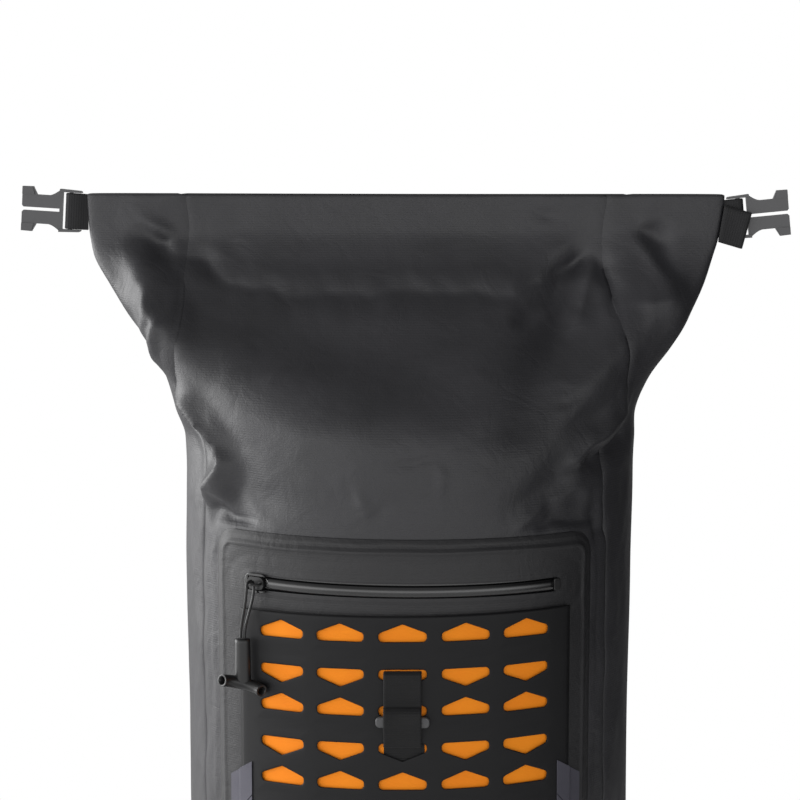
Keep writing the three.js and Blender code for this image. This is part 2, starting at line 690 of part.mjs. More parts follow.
// One slot and the net of cells from its outline to its share of the panel.
function slotCells(middle, base, flip) {
  const half = slotWidth / 2;
  const slot = [
    [slotEndRadius - half, 0], [0, 0], [half - slotEndRadius, 0], [half, slotEndRadius],
    [half - 0.45 * slotEndRadius, 1.75 * slotEndRadius], [0, slotHeight],
    [0.45 * slotEndRadius - half, 1.75 * slotEndRadius], [-half, slotEndRadius],
  ];
  const low = -slotBar / 2;
  const high = slotHeight + slotPeakGap / 2;
  const side = slotSpacing / 2;
  const level = (low + high) / 2;
  const share = [
    [-side, low], [0, low], [side, low], [side, level], [side, high], [0, high], [-side, high],
    [-side, level],
  ];
  const toPanel = ([x, z]) => new THREE.Vector2(middle + x, base + (flip ? -z : z));
  return slot.map((corner, i) => {
    const next = (i + 1) % slot.length;
    const cell = [share[i], share[next], slot[next], corner].map(toPanel);
    return flip ? cell.reverse() : cell;
  });
}

function lashPanel() {
  const cells = [];
  const add = (places, heights) => heights.slice(1).forEach((z, r) => places.slice(1).forEach((x, c) => {
    cells.push([[places[c], heights[r]], [x, heights[r]], [x, z], [places[c], z]].map(
      ([along, height]) => new THREE.Vector2(along, height),
    ));
  }));
  const levels = steps(lashBottom, lashTop, 2 * lashRowsTotal);
  const middles = steps(-lashHalf, lashHalf, 2 * lashColumns);
  add([-lashHalf - lashSideEdge, -lashHalf], levels);
  add([lashHalf, lashHalf + lashSideEdge], levels);
  add(middles, [lashTop, lashTop + lashEndEdge]);
  add(middles, [lashBottom - lashEndEdge, lashBottom]);
  for (let row = 0; row < lashRowsTotal; row++) {
    const flip = row % 2 === 1;
    const base = firstSlotBase - row * rowStep + (flip ? rowStep - slotBar : 0);
    for (let column = 0; column < lashColumns; column++) {
      cells.push(...slotCells((column - (lashColumns - 1) / 2) * slotSpacing, base, flip));
    }
  }
  const spots = new Map();
  const index = (corner) => {
    const key = corner.x.toFixed(3) + "," + corner.y.toFixed(3);
    if (!spots.has(key)) spots.set(key, { at: spots.size, corner });
    return spots.get(key).at;
  };
  const net = cells.map((cell) => cell.map(index));
  const layer = (lift) => [...spots.values()].map(({ corner }) => overLash(corner.x, corner.y, lift));
  return sheetOf(layer(lashFace()), layer(lashFace() - lashSheet), net);
}

const backing = () => bandOnFront(
  steps(-lashHalf - 1, lashHalf + 1, 2 * lashColumns),
  [lashBottom - lashEndEdge + backingInset, 0.25 * bagHeight, 0.48 * bagHeight,
    lashTop + lashEndEdge - backingInset],
  pocketFace + layerGap,
  backingSheet,
  overLash,
);

// The tape lies half on the lash panel and half on the pocket, with a step between.
function sideTape(side) {
  const panelEdge = lashHalf + lashSideEdge;
  const on = lashFace() + pieceGap;
  const off = pocketFace + layerGap;
  const from = panelEdge - tapeInset;
  const places = [from, panelEdge + 0.4, panelEdge + 3.4, from + tapeWidth];
  const lifts = [on, on, off, off];
  const top = tapeTop - tapeSlant;
  const grid = (rise) => [lashBottom, 0.25 * bagHeight, top - tapeSlant, top].map((z, r) => {
    const row = places.map((along, i) => {
      const slant = r < 3 ? 0 : (tapeSlant * (from + tapeWidth - along)) / tapeWidth;
      return overLash(side * along, z + slant, lifts[i] + rise);
    });
    return side > 0 ? row : row.reverse();
  });
  return gridSheet(grid(tapeSheet), grid(0));
}

// Webbing threaded through the middle column, over a plastic bar. Each row is a share of rowStep
// below the first slots' straight edge and how far the strap's middle stands off the lash panel.
const keeperPath = [
  { down: 0.822, off: -1 }, { down: 0.83, off: 0.6 }, { down: 0.871, off: 1.6 }, { down: 1.021, off: 2.1 },
  { down: 1.477, off: 2.3 }, { down: 1.685, off: 1.7 }, { down: 1.743, off: 1.7 }, { down: 1.809, off: 3.4 },
  { down: 1.996, off: 4.8 }, { down: 2.286, off: 4.8 }, { down: 2.535, off: 2.4 }, { down: 2.68, off: 1.6 },
  { down: 2.78, off: 1.1 }, { down: 2.822, off: 0 }, { down: 2.83, off: -1 },
];
const keeperBarDown = 2.141; // the bar's place in the same shares
const keeperAt = (down) => firstSlotBase - down * rowStep;
const keeperStrap = () => strapAlong(
  keeperPath.map(({ down, off }) => overLash(0, keeperAt(down), lashFace() + off)),
  new THREE.Vector3(1, 0, 0),
  webbingWidth,
  webbingSheet,
);
const keeperBar = () => standing(
  plateOf(roundedRect(ringWidth, ringRail * 2, ringRail * 0.8), ringThickness),
  lashShift,
  keeperAt(keeperBarDown),
  lashFace() + pieceGap + ringThickness / 2,
);

// Clips, each built about its webbing bar with x outwards

const clips = [
  { side: -1, reach: clipReach, height: bagHeight - clipDrop, tilt: clipTilt },
  { side: 1, reach: clipReachRight, height: bagHeight - clipDropRight, tilt: clipTiltRight },
];

const mouthEnd = (side, z) => shellPoint(side * tipAt(sectionAt(z, 0)), z).x;

function atClip(geometry, { side, reach, height, tilt }) {
  const turned = geometry.clone().rotateY(THREE.MathUtils.degToRad(-tilt)).scale(side, 1, 1);
  return outwards(turned.translate(mouthEnd(side, height) + side * reach, 0, height));
}

function clipBody() {
  const inside = webbingWidth / 2 + 0.4;
  const edge = inside + clipRailWidth;
  const root = clipSlotLength;
  const face = root + clipRootBar;
  const tip = face + prongLength;
  const rail = (up) => plateOf(
    [[-clipRailBack, inside], [face, inside], [face, edge], [1 - clipRailBack, edge - 0.6], [-clipRailBack, edge - 1.2]]
      .map(([x, z]) => new THREE.Vector2(x, up * z)),
    clipRailThickness,
  );
  const prong = (up) => {
    const outline = new THREE.Shape()
      .moveTo(root, up * prongGap / 2)
      .lineTo(tip - 1, up * prongGap / 2)
      .lineTo(tip, up * (prongGap / 2 + 1.2))
      .lineTo(tip, up * (edge + 0.4))
      .lineTo(tip - 7, up * (edge + 0.6))
      .lineTo(tip - 9.8, up * prongWaist)
      .lineTo(face + 7, up * prongWaist)
      .quadraticCurveTo(face + 3.5, up * (prongWaist + 0.6), face - 1, up * edge)
      .lineTo(root, up * edge);
    return plateOf(outline, prongThickness);
  };
  const pad = (up) => plateOf(
    [[tip - 8.4, prongWaist], [tip, prongWaist], [tip, edge + 0.4], [tip - 7, edge + 0.6]]
      .map(([x, z]) => new THREE.Vector2(x, up * z)),
    prongPad,
  );
  const bar = new THREE.CylinderGeometry(clipWebBar / 2, clipWebBar / 2, 2 * inside + 1, 8)
    .rotateX(Math.PI / 2);
  const rootBar = box(clipRootBar, prongThickness, 2 * inside + 1).translate(root + clipRootBar / 2, 0, 0);
  return join(rail(1), rail(-1), bar, rootBar, prong(1), prong(-1), pad(1), pad(-1));
}

const tabOff = clipWebBar / 2 + layerGap + webbingSheet / 2; // bar's middle to a layer's middle

// The two layers close up at the bag and end along its edge.
function mouthTab(clip) {
  const { side, reach, height, tilt } = clip;
  const half = webbingWidth / 2;
  const slant = side * (mouthEnd(side, height + half) - mouthEnd(side, height - half));
  const edge = new THREE.Vector3(slant, 0, webbingWidth)
    .applyAxisAngle(new THREE.Vector3(0, 1, 0), THREE.MathUtils.degToRad(tilt));
  const upright = new THREE.Vector3(0, 0, 1);
  const sewn = (webbingSheet + halfGap) / 2;
  const bend = steps(90, -90, 6).map((degrees) => {
    const turn = THREE.MathUtils.degToRad(degrees);
    return new THREE.Vector3(tabOff * Math.cos(turn), tabOff * Math.sin(turn), 0);
  });
  const layer = (off) => [
    new THREE.Vector3(pieceGap - reach, Math.sign(off) * sewn, 0),
    new THREE.Vector3(pieceGap - reach * 0.6, off, 0),
  ];
  const path = [...layer(tabOff), ...bend, ...layer(-tabOff).reverse()];
  const across = path.map((_, i) => (i === 0 || i === path.length - 1 ? edge : upright));
  return atClip(strapAlong(path, across, webbingWidth, webbingSheet), clip);
}

// On the right the webbing has slipped down its bar and hangs over it as a fold.
function tabFold() {
  const clip = clips[1];
  const turn = THREE.MathUtils.degToRad(foldTurn);
  const end = new THREE.Vector2(mouthEnd(1, clip.height) + clip.reach + 4.5, clip.height - foldDrop);
  const lower = end.clone().add(new THREE.Vector2(-Math.sin(turn), -Math.cos(turn)).multiplyScalar(webbingWidth / 2));
  const upper = end.clone().add(new THREE.Vector2(Math.sin(turn), Math.cos(turn)).multiplyScalar(webbingWidth / 2));
  const atBag = (z) => new THREE.Vector2(mouthEnd(1, z) + pieceGap, z);
  const outline = [atBag(lower.y + 4.5), lower, upper, atBag(upper.y + 5)];
  const off = tabOff + webbingSheet / 2 + layerGap + webbingSheet;
  return plateOf(outline, 2 * webbingSheet).translate(0, -off, 0);
}

// Side straps with their sockets

function sideSpot(side, z, lift) {
  return overShell(side * tipAt(sectionAt(z, 0)), z, lift);
}

function sideStrap(side) {
  const lift = layerGap + webbingSheet / 2;
  const heights = [sideStrapTop, sideStrapTop - sideStrapPatch, sideStrapTop - sideStrapLength * 0.6,
    sideStrapTop - sideStrapLength];
  const path = heights.map((z) => sideSpot(side, z, lift));
  return strapAlong(path, new THREE.Vector3(0, 1, 0), webbingWidth, webbingSheet);
}

function socket(side) {
  const width = 2 * (webbingWidth / 2 + 0.4 + clipRailWidth) + 2 * socketWall + 1.2;
  const shell = new THREE.ExtrudeGeometry(roundedRect(width, socketThickness, 3.5), {
    depth: socketLength, bevelEnabled: false, curveSegments: 2,
  });
  const hollow = box(width - 2 * socketWall, socketThickness - 2 * socketWall, socketLength)
    .translate(0, 0, socketLength / 2 - socketWall);
  const window = box(width + 1, socketThickness - 2 * socketWall, socketLength * 0.36)
    .translate(0, 0, socketLength * 0.5);
  const made = cut(shell, hollow, window).rotateZ(Math.PI / 2);
  const top = sideStrapTop - sideStrapLength - pieceGap;
  const spot = sideSpot(side, top - socketLength / 2, layerGap + socketThickness / 2);
  return made.translate(spot.x, spot.y, top - socketLength);
}

// Back: pad, yoke, shoulder straps and haul loop

function backPad() {
  const { bottom, top } = edgeRows(backPadBottom, backPadTop, backPadCorner / 2, backPadCorner);
  const { outer, inner } = patch({
    half: backPadWidth / 2,
    low: backPadBottom,
    high: backPadTop,
    corner: backPadCorner,
    border: backPadCorner / 2,
    rows: [...bottom, 0.25 * bagHeight, 0.48 * bagHeight, ...top],
    columns: (side) => steps(-side, side, 8).slice(1, -1),
    surface: (place, z, lift) => overBack(-place, z, lift),
    outer: [0.3, 0.7, 1].map((share) => backGap + share * backPadThickness),
    inner: [backGap, backGap, backGap],
  });
  return gridSheet(outer, inner);
}

function yoke() {
  const low = yokeMiddle - yokeHeight / 2;
  const high = yokeMiddle + yokeHeight / 2;
  const grid = (lift) => [low, yokeMiddle, high].map((z) => (
    steps(yokeWidth / 2, -yokeWidth / 2, 8).map((side) => overBack(side, z, lift))
  ));
  return gridSheet(grid(backGap + yokeSheet), grid(backGap));
}

// How a shoulder strap runs: its way down as a share of strapFall, its distance from the back's
// middle as a share of half the back pad's width, and how far it stands off as a share of strapBow
const strapRun = [
  { down: 0, side: 0.381, bow: 0 }, { down: 0.0676, side: 0.419, bow: 0.24 },
  { down: 0.1824, side: 0.514, bow: 0.68 }, { down: 0.3514, side: 0.629, bow: 0.96 },
  { down: 0.5372, side: 0.743, bow: 1 }, { down: 0.723, side: 0.838, bow: 0.86 },
  { down: 0.8919, side: 0.914, bow: 0.6 }, { down: 1, side: 0.952, bow: 0.4 },
];
const strapLift = backGap + yokeSheet + layerGap + strapPadding / 2;

function strapSpot(side, row) {
  const z = yokeMiddle - strapDrop - row.down * strapFall;
  return overBack((side * row.side * backPadWidth) / 2, z, strapLift + row.bow * strapBow);
}

function shoulderStrap(side) {
  const path = strapRun.map((row) => strapSpot(side, row));
  return strapAlong(path, new THREE.Vector3(1, 0, 0), strapWidth, strapPadding, strapPadding * 0.32);
}

function lowerEnd(side) {
  const [before, last] = strapRun.slice(-2).map((row) => strapSpot(side, row));
  return { last, along: last.clone().sub(before).normalize() };
}

function ladderLock(side) {
  const { last, along } = lowerEnd(side);
  const path = [pieceGap, lockLength].map((reach) => last.clone().addScaledVector(along, reach));
  const plate = strapAlong(path, new THREE.Vector3(1, 0, 0), lockWidth, lockThickness);
  const slots = [0.3, 0.72].map((share) => {
    const spot = last.clone().addScaledVector(along, lockLength * share);
    const slot = box(webbingWidth + 2, 4 * lockThickness, 3);
    return slot.rotateX(Math.atan2(along.y, -along.z)).translate(spot.x, spot.y, spot.z);
  });
  return cut(plate, ...slots);
}

function lowerWebbing(side) {
  const { last, along } = lowerEnd(side);
  const start = last.clone().addScaledVector(along, lockLength + pieceGap);
  const ends = [lowerWebbingFoot + lowerWebbingSewn, lowerWebbingFoot];
  const sewn = ends.map((z) => overBack(side * lowerWebbingSide, z, backGap + webbingSheet / 2));
  const beside = overBack(side * lowerWebbingSide + 1, lowerWebbingFoot, backGap + webbingSheet / 2);
  const across = beside.sub(sewn[1]);
  return strapAlong([start, ...sewn], [new THREE.Vector3(1, 0, 0), across, across], webbingWidth, webbingSheet);
}

function haulLoop() {
  const z = yokeMiddle + yokeHeight / 2 - webbingWidth / 2;
  const lift = backGap + yokeSheet + layerGap + webbingSheet / 2;
  const path = steps(-1, 1, 10).map((share) => (
    overBack((share * haulLength) / 2, z + haulRise * 0.5 * (1 - share ** 2), lift + haulRise * (1 - share ** 4))
  ));
  return strapAlong(path, new THREE.Vector3(0, 0, 1), webbingWidth, webbingSheet);
}

const nodes = [
  ["front_panel", frontPanel(), "cloth"],
  ["back_panel", backPanel(), "cloth"],
  ["gusset_left", gusset(-1), "cloth"],
  ["gusset_right", gusset(1), "cloth"],
  ["base_panel", basePanel(), "cloth"],
  ["pocket_panel", pocketPanel(), "cloth"],
  ["zip_tape", zipTape(), "zip"],
  ["zip_bead", zipBead(), "zip"],
  ["zip_stop", zipStop(), "zip"],
  ["zip_garage", zipGarage(), "zip"],
  ["zip_slider", zipSlider(), "zip"],
  ["pull_cord", pullCord(), "webbing"],
  ["pull_grip", pullGrip(), "zip"],
  ["orange_backing", backing(), "orange"],
  ["lash_panel", lashPanel(), "smooth"],
  ["reflective_left", sideTape(-1), "tape"],
  ["reflective_right", sideTape(1), "tape"],
  ["keeper_bar", keeperBar(), "plastic"],
  ["keeper_strap", keeperStrap(), "webbing"],
  ["tab_left", mouthTab(clips[0]), "webbing"],
  ["tab_right", mouthTab(clips[1]), "webbing"],
  ["tab_fold_right", tabFold(), "webbing"],
  ["clip_left", atClip(clipBody(), clips[0]), "plastic"],
  ["clip_right", atClip(clipBody(), clips[1]), "plastic"],
  ["side_strap_left", sideStrap(-1), "webbing"],
  ["side_strap_right", sideStrap(1), "webbing"],
  ["socket_left", socket(-1), "plastic"],
  ["socket_right", socket(1), "plastic"],
  ["back_pad", backPad(), "mesh"],
  ["yoke", yoke(), "cloth"],
  ["shoulder_strap_left", shoulderStrap(-1), "mesh"],
  ["shoulder_strap_right", shoulderStrap(1), "mesh"],
  ["ladder_lock_left", ladderLock(-1), "plastic"],
  ["ladder_lock_right", ladderLock(1), "plastic"],
  ["lower_webbing_left", lowerWebbing(-1), "webbing"],
  ["lower_webbing_right", lowerWebbing(1), "webbing"],
  ["haul_loop", haulLoop(), "webbing"],
];

const backpack = new THREE.Group();
for (const [name, geometry, finish] of nodes) {
  const piece = new THREE.Mesh(geometry, new THREE.MeshStandardMaterial(colours[finish]));
  piece.name = name;
  backpack.add(piece);
}

export default backpack;
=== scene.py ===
import math
import bmesh
import bpy
import numpy as np
from mathutils import Matrix, Vector
from mathutils.geometry import delaunay_2d_cdt


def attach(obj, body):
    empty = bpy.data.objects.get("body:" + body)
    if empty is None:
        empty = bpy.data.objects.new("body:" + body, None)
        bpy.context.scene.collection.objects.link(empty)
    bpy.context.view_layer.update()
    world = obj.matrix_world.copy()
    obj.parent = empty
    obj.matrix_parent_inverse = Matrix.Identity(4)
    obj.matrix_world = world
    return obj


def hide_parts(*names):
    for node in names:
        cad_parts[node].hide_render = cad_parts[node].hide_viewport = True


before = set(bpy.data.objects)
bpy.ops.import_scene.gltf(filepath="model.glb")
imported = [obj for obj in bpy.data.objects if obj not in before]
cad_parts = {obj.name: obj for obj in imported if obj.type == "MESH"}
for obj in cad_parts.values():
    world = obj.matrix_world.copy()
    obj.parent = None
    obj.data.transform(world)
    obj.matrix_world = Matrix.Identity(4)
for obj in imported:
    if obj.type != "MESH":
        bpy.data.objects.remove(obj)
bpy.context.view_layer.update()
mm = 0.001
print("frame loaded,", len(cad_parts), "solids")

camera = {"spot": (0.0715, -1.4868, 0.7255), "target": (-0.0064, 0.0, 0.5427), "lens": 100.4, "sensor": 36}

cameraData = bpy.data.cameras.new("camera")
cameraData.lens = camera["lens"]
cameraData.sensor_width = camera["sensor"]
cameraObject = bpy.data.objects.new("camera", cameraData)
cameraObject.location = camera["spot"]
aim = Vector(camera["target"]) - Vector(camera["spot"])
cameraObject.rotation_euler = aim.to_track_quat("-Z", "Y").to_euler()
bpy.context.scene.collection.objects.link(cameraObject)
bpy.context.scene.camera = cameraObject

# Cloth of the shell: the same outline that the solids have, in millimetres
bag = {
    "height": 680, "bodyHalf": 150, "mouthHalf": 212, "front": 122, "back": 84, "mouth": 8, "wall": 2,
    "frontRound": 2.05, "backRound": 3.3, "mouthRound": 4, "baseRound": 22, "seam": 150, "gap": 0.15,
    "steps": 1080,
    "lean": 5, "leanFrom": 560, "leanTo": 640,
}
sectionColumns = ("up", "spread", "lean", "fill", "flat", "seam")
sectionRows = np.array([
    (0, 0, 0, 1, 0, 1), (0.48, -0.02, -0.006, 0.985, 0, 1.01), (0.64, 0, -0.006, 1, 0, 1.01),
    (0.735, 0, 0, 0.99, 0, 0.975), (0.765, 0.012, 0, 0.96, 0.02, 1),
    (0.794, 0.07, -0.02, 0.9, 0.05, 1.13), (0.8235, 0.18, -0.012, 0.8, 0.12, 1.06),
    (0.853, 0.365, 0, 0.63, 0.22, 1), (0.882, 0.58, -0.01, 0.42, 0.4, 0.955),
    (0.912, 0.765, -0.02, 0.21, 0.65, 0.935), (0.941, 0.9, -0.034, 0.07, 0.85, 0.92),
    (0.968, 0.97, -0.03, 0.01, 0.95, 0.915), (1, 1, -0.027, 0, 1, 0.93),
])

# Big folds: place along the cloth, height, half width, half height, turn in degrees, rise
bigFolds = [
    (-0.39, 0.863, 0.62, 0.13, -14, -0.075), (0.11, 0.869, 0.5, 0.12, 8, -0.06),
    (0.7, 0.873, 0.13, 0.42, -24, -0.095), (0.47, 0.886, 0.12, 0.34, -52, 0.05),
    (-0.09, 0.792, 0.5, 0.16, 0, 0.04), (-1.15, 0.9, 0.09, 0.3, 6, 0.045),
    (-1, 0.868, 0.09, 0.26, 8, 0.04), (-1.05, 0.93, 0.3, 0.07, -16, 0.03),
    (1.17, 0.905, 0.09, 0.36, 38, 0.04), (0.96, 0.9, 0.16, 0.2, 0, 0.035),
    (-0.84, 0.725, 0.13, 0.22, 12, 0.035), (-0.59, 0.701, 0.1, 0.34, 40, -0.04),
    (0.63, 0.721, 0.1, 0.4, -38, -0.05), (0.84, 0.7, 0.14, 0.2, 0, -0.045),
]

# Creases: rise in mm (a valley is negative), its width on the left and on the right of the line,
# sharpness, and the line itself, (mm along the cloth from the front's middle, height)
creases = [
    # left gusset: the scalloped ridge, its buckles, the hooked crease and the band's lower line
    (6.5, 26, 30, 1.5, [(-214, 646), (-196, 636), (-180, 628), (-166, 614), (-158, 597), (-170, 584),
                        (-179, 562)]),
    (2.6, 9, 8, 1.4, [(-179, 628), (-188, 614), (-201, 598)]),
    (-2.2, 7, 7, 1.4, [(-172, 620), (-181, 606), (-201, 589)]),
    (2.4, 8, 7, 1.4, [(-165, 615), (-169, 602), (-181, 586)]),
    (-2.0, 6, 6, 1.4, [(-161, 604), (-168, 592), (-181, 574)]),
    (1.8, 6, 6, 1.4, [(-159, 598), (-166, 584), (-176, 566)]),
    (3.0, 9, 6, 1.3, [(-176, 667), (-165, 659), (-156, 652), (-149, 642)]),
    (-2.6, 7, 8, 1.3, [(-168, 655), (-158, 648), (-152, 638)]),
    (-3.6, 11, 9, 1.4, [(-214, 646), (-190, 647), (-168, 652)]),
    (-2.4, 16, 12, 1.5, [(-168, 651), (-152, 634), (-142, 616)]),
    # centre: the lower edge of the flat strip, the tent near the right seam
    (-3.6, 14, 20, 1.5, [(-150, 642), (-132, 634), (-114, 623), (-74, 614), (-12, 617), (50, 616),
                         (74, 615), (104, 630),
                         (122, 643)]),
    (-4.2, 10, 14, 1.4, [(126, 645), (114, 635), (100, 620), (86, 608), (70, 597)]),
    (-3.8, 10, 9, 1.4, [(127, 645), (134, 632), (138, 618), (139, 600)]),
    (4.0, 12, 12, 1.5, [(126, 640), (121, 624), (116, 606), (108, 588)]),
    (-1.4, 7, 7, 1.3, [(82, 673), (94, 668), (106, 664)]),
    (-0.9, 5, 5, 1.2, [(106, 612), (118, 609), (130, 610)]),
    (0.9, 4, 4, 1.2, [(56, 592), (70, 597), (82, 594)]),
    # right gusset
    (-5.2, 12, 12, 1.3, [(164, 662), (171, 650), (179, 637), (190, 618)]),
    (3.2, 12, 12, 1.4, [(156, 655), (164, 640), (176, 624), (186, 615)]),
    (4.4, 16, 22, 1.5, [(146, 612), (166, 613), (188, 618)]),
    (2.0, 6, 6, 1.3, [(156, 659), (162, 665), (170, 668)]),
    (-1.8, 6, 6, 1.3, [(152, 664), (160, 658), (166, 650)]),
    (1.6, 10, 8, 1.4, [(168, 668), (186, 662), (206, 664)]),
    # below the flare: the bright left facet, the creases that run in from the sides
    (7.5, 20, 13, 1.4, [(-163, 556), (-147, 540), (-128, 524), (-125, 512), (-131, 500), (-145, 485)]),
    (-4.0, 12, 18, 1.5, [(-147, 485), (-124, 478), (-102, 470), (-83, 463)]),
    (-2.6, 10, 10, 1.5, [(-122, 500), (-111, 486), (-98, 475)]),
    (-5.0, 14, 16, 1.4, [(195, 529), (168, 521), (139, 515), (122, 509)]),
    (4.2, 16, 18, 1.5, [(175, 547), (154, 538), (124, 520), (107, 506)]),
    (-3.4, 12, 20, 1.5, [(153, 465), (127, 474), (100, 478), (79, 467)]),
    (2.6, 16, 14, 1.5, [(146, 495), (120, 496), (94, 489), (73, 473)]),
    (1.3, 6, 7, 1.3, [(-28, 506), (-24, 494), (-18, 480)]),
    (-0.9, 6, 5, 1.3, [(-18, 480), (-12, 488), (-8, 496)]),
    (0.8, 5, 5, 1.3, [(22, 522), (26, 508), (24, 492)]),
    (-0.8, 3, 4, 1.2, [(-9, 514), (10, 519), (29, 525)]),
    (-0.7, 3, 3, 1.2, [(4, 563), (16, 569), (30, 570)]),
    (0.7, 3, 4, 1.2, [(36, 567), (48, 570), (58, 567)]),
    (0.8, 6, 6, 1.3, [(-96, 567), (-80, 571), (-62, 567)]),
    (-0.8, 5, 5, 1.3, [(-108, 588), (-94, 583), (-79, 587)]),
    (0.9, 6, 6, 1.3, [(91, 561), (105, 566), (119, 562)]),
    (-0.8, 5, 5, 1.3, [(97, 551), (112, 552), (126, 558)]),
    # welded lines beside the pocket
    (1.1, 2.4, 2.4, 1.2, [(-136, 119), (-137, 239), (-135, 329), (-137, 399), (-136, 452), (-132, 464),
                          (-122, 471)]),
    (1.0, 2.2, 2.2, 1.2, [(137, 119), (136, 239), (137, 329), (136, 400), (137, 454), (131, 466)]),
    # back, above the yoke and at its sides
    (-4.0, 16, 22, 1.5, [(520, 632), (490, 624), (462, 616), (430, 618), (400, 624)]),
    (3.0, 16, 16, 1.5, [(505, 596), (480, 578), (462, 556)]),
    (-2.6, 12, 12, 1.5, [(420, 596), (436, 574), (448, 548)]),
]


def tableValue(name, up):
    column, ups = sectionRows[:, sectionColumns.index(name)], sectionRows[:, 0]
    slopes = np.diff(column) / np.diff(ups)
    tangents = np.zeros(len(ups))
    for i in range(1, len(ups) - 1):
        if slopes[i - 1] * slopes[i] > 0:
            tangents[i] = 2 * slopes[i - 1] * slopes[i] / (slopes[i - 1] + slopes[i])
    i = int(np.clip(np.searchsorted(ups, up) - 1, 0, len(ups) - 2))
    run = ups[i + 1] - ups[i]
    t = min(max((up - ups[i]) / run, 0), 1)
    ease = t * t * (3 - 2 * t)
    bend = t * (1 - t) ** 2 * run * tangents[i] + t * t * (t - 1) * run * tangents[i + 1]
    return column[i] * (1 - ease) + column[i + 1] * ease + bend


outlines = {}
pocketShift = 1


def outlineAt(z, inset=0.0):
    key = (round(float(z), 2), round(float(inset), 3))
    if key in outlines:
        return outlines[key]
    up = key[0] / bag["height"]
    fill, flat, spread = (tableValue(name, up) for name in ("fill", "flat", "spread"))
    half = bag["bodyHalf"] + (bag["mouthHalf"] - bag["bodyHalf"]) * spread - inset
    middle = tableValue("lean", up) * bag["bodyHalf"]
    turn = np.linspace(-math.pi, math.pi, bag["steps"] + 1)
    isFront = np.abs(turn) < math.pi / 2
    depth = np.where(isFront, bag["front"], bag["back"])
    depth = bag["mouth"] + (depth - bag["mouth"]) * fill - inset
    rounded = np.where(isFront, bag["frontRound"], bag["backRound"])
    power = 2 / (rounded + (bag["mouthRound"] - rounded) * flat)
    side, out = np.sin(turn), np.cos(turn)
    side[np.abs(side) < 1e-9] = 0
    out[np.abs(out) < 1e-9] = 0
    x = middle + half * np.sign(side) * np.abs(side) ** power
    y = -depth * np.sign(out) * np.abs(out) ** power
    lengths = np.concatenate([[0], np.cumsum(np.hypot(np.diff(x), np.diff(y)))])
    dx = np.concatenate([[x[1] - x[-2]], x[2:] - x[:-2], [x[1] - x[-2]]])
    dy = np.concatenate([[y[1] - y[-2]], y[2:] - y[:-2], [y[1] - y[-2]]])
    size = np.hypot(dx, dy)
    outlines[key] = (x, y, dy / size, -dx / size, lengths)
    return outlines[key]


def girthAt(z):
    return outlineAt(z)[4][-1]


def tipAt(z):
    lengths = outlineAt(z)[4]
    return lengths[bag["steps"] * 3 // 4] - lengths[-1] / 2


def seamAt(z):
    return bag["seam"] * tableValue("seam", z / bag["height"])


def seamLean(z):
    # both seams lean a little to the left near the mouth
    return -bag["lean"] * smooth(z, bag["leanFrom"], bag["leanTo"])


def smooth(value, low, high):
    t = np.clip((value - low) / (high - low), 0, 1)
    return t * t * (3 - 2 * t)


def drift(s, z, size, seed):
    # smooth wandering between -1 and 1, the same on every run
    total = np.zeros(np.shape(s))
    for i in range(7):
        turn = seed * 1.7 + i * 2.399
        pace = 2 * math.pi / (size * (0.55 + 0.16 * i))
        total += np.sin((s * math.cos(turn) + z * math.sin(turn)) * pace + seed * 5.1 + i * 1.3)
    return total / 3.2


def lineDistance(s, z, line):
    # distance to a line of points, the side it is on, and how far along it
    best = np.full(np.shape(s), 1e9)
    side, along = np.zeros(np.shape(s)), np.zeros(np.shape(s))
    steps = [math.dist(a, b) for a, b in zip(line, line[1:])]
    total, gone = sum(steps), 0
    for (a, b), step in zip(zip(line, line[1:]), steps):
        dx, dz = (b[0] - a[0]) / step, (b[1] - a[1]) / step
        t = np.clip((s - a[0]) * dx + (z - a[1]) * dz, 0, step)
        far = np.hypot(s - a[0] - t * dx, z - a[1] - t * dz)
        closer = far < best
        best = np.where(closer, far, best)
        side = np.where(closer, np.sign((s - a[0]) * dz - (z - a[1]) * dx), side)
        along = np.where(closer, (gone + t) / total, along)
        gone += step
    return best, side, along, total


tipHeights = np.linspace(440, 680, 61)
tipPlaces = np.array([tipAt(z) for z in tipHeights])
crumple = {
    "from": 472, "to": 498, "foldCalm": 0.25, "crease": 1.4, "calm": 0.1, "calmPlace": 10, "wander": 1.6,
    "wanderSize": 34, "fade": 16, "least": 0.12, "drift": 0.22, "driftSize": 46, "facets": 1.15,
    "quiet": 0.38,
    "left": 0.55, "mouth": 0.5, "beside": 0.55, "besideFrom": 124, "pocketSide": 132.5,
}


def fromTip(s, z, back=0):
    # distance from the widest place of the section, on either side
    return np.abs(np.abs(s) - np.interp(z, tipHeights, tipPlaces) + back)


def relief(s, z):
    s, z = np.asarray(s, float), np.asarray(z, float)
    rise = np.zeros(np.broadcast(s, z).shape)
    for along, up, wide, tall, turn, height in bigFolds:
        c, d = math.cos(math.radians(turn)), math.sin(math.radians(turn))
        across, over = s - along * bag["seam"], z - up * bag["height"]
        rise = rise + height * bag["front"] * np.exp(
            -((across * c + over * d) / (wide * bag["bodyHalf"])) ** 2
            - ((over * c - across * d) / (tall * bag["bodyHalf"])) ** 2)
    calm = crumple["foldCalm"]
    share = calm + (1 - calm) * smooth(fromTip(s, z), 4, 32)
    return rise * smooth(z, crumple["from"], crumple["to"]) * share


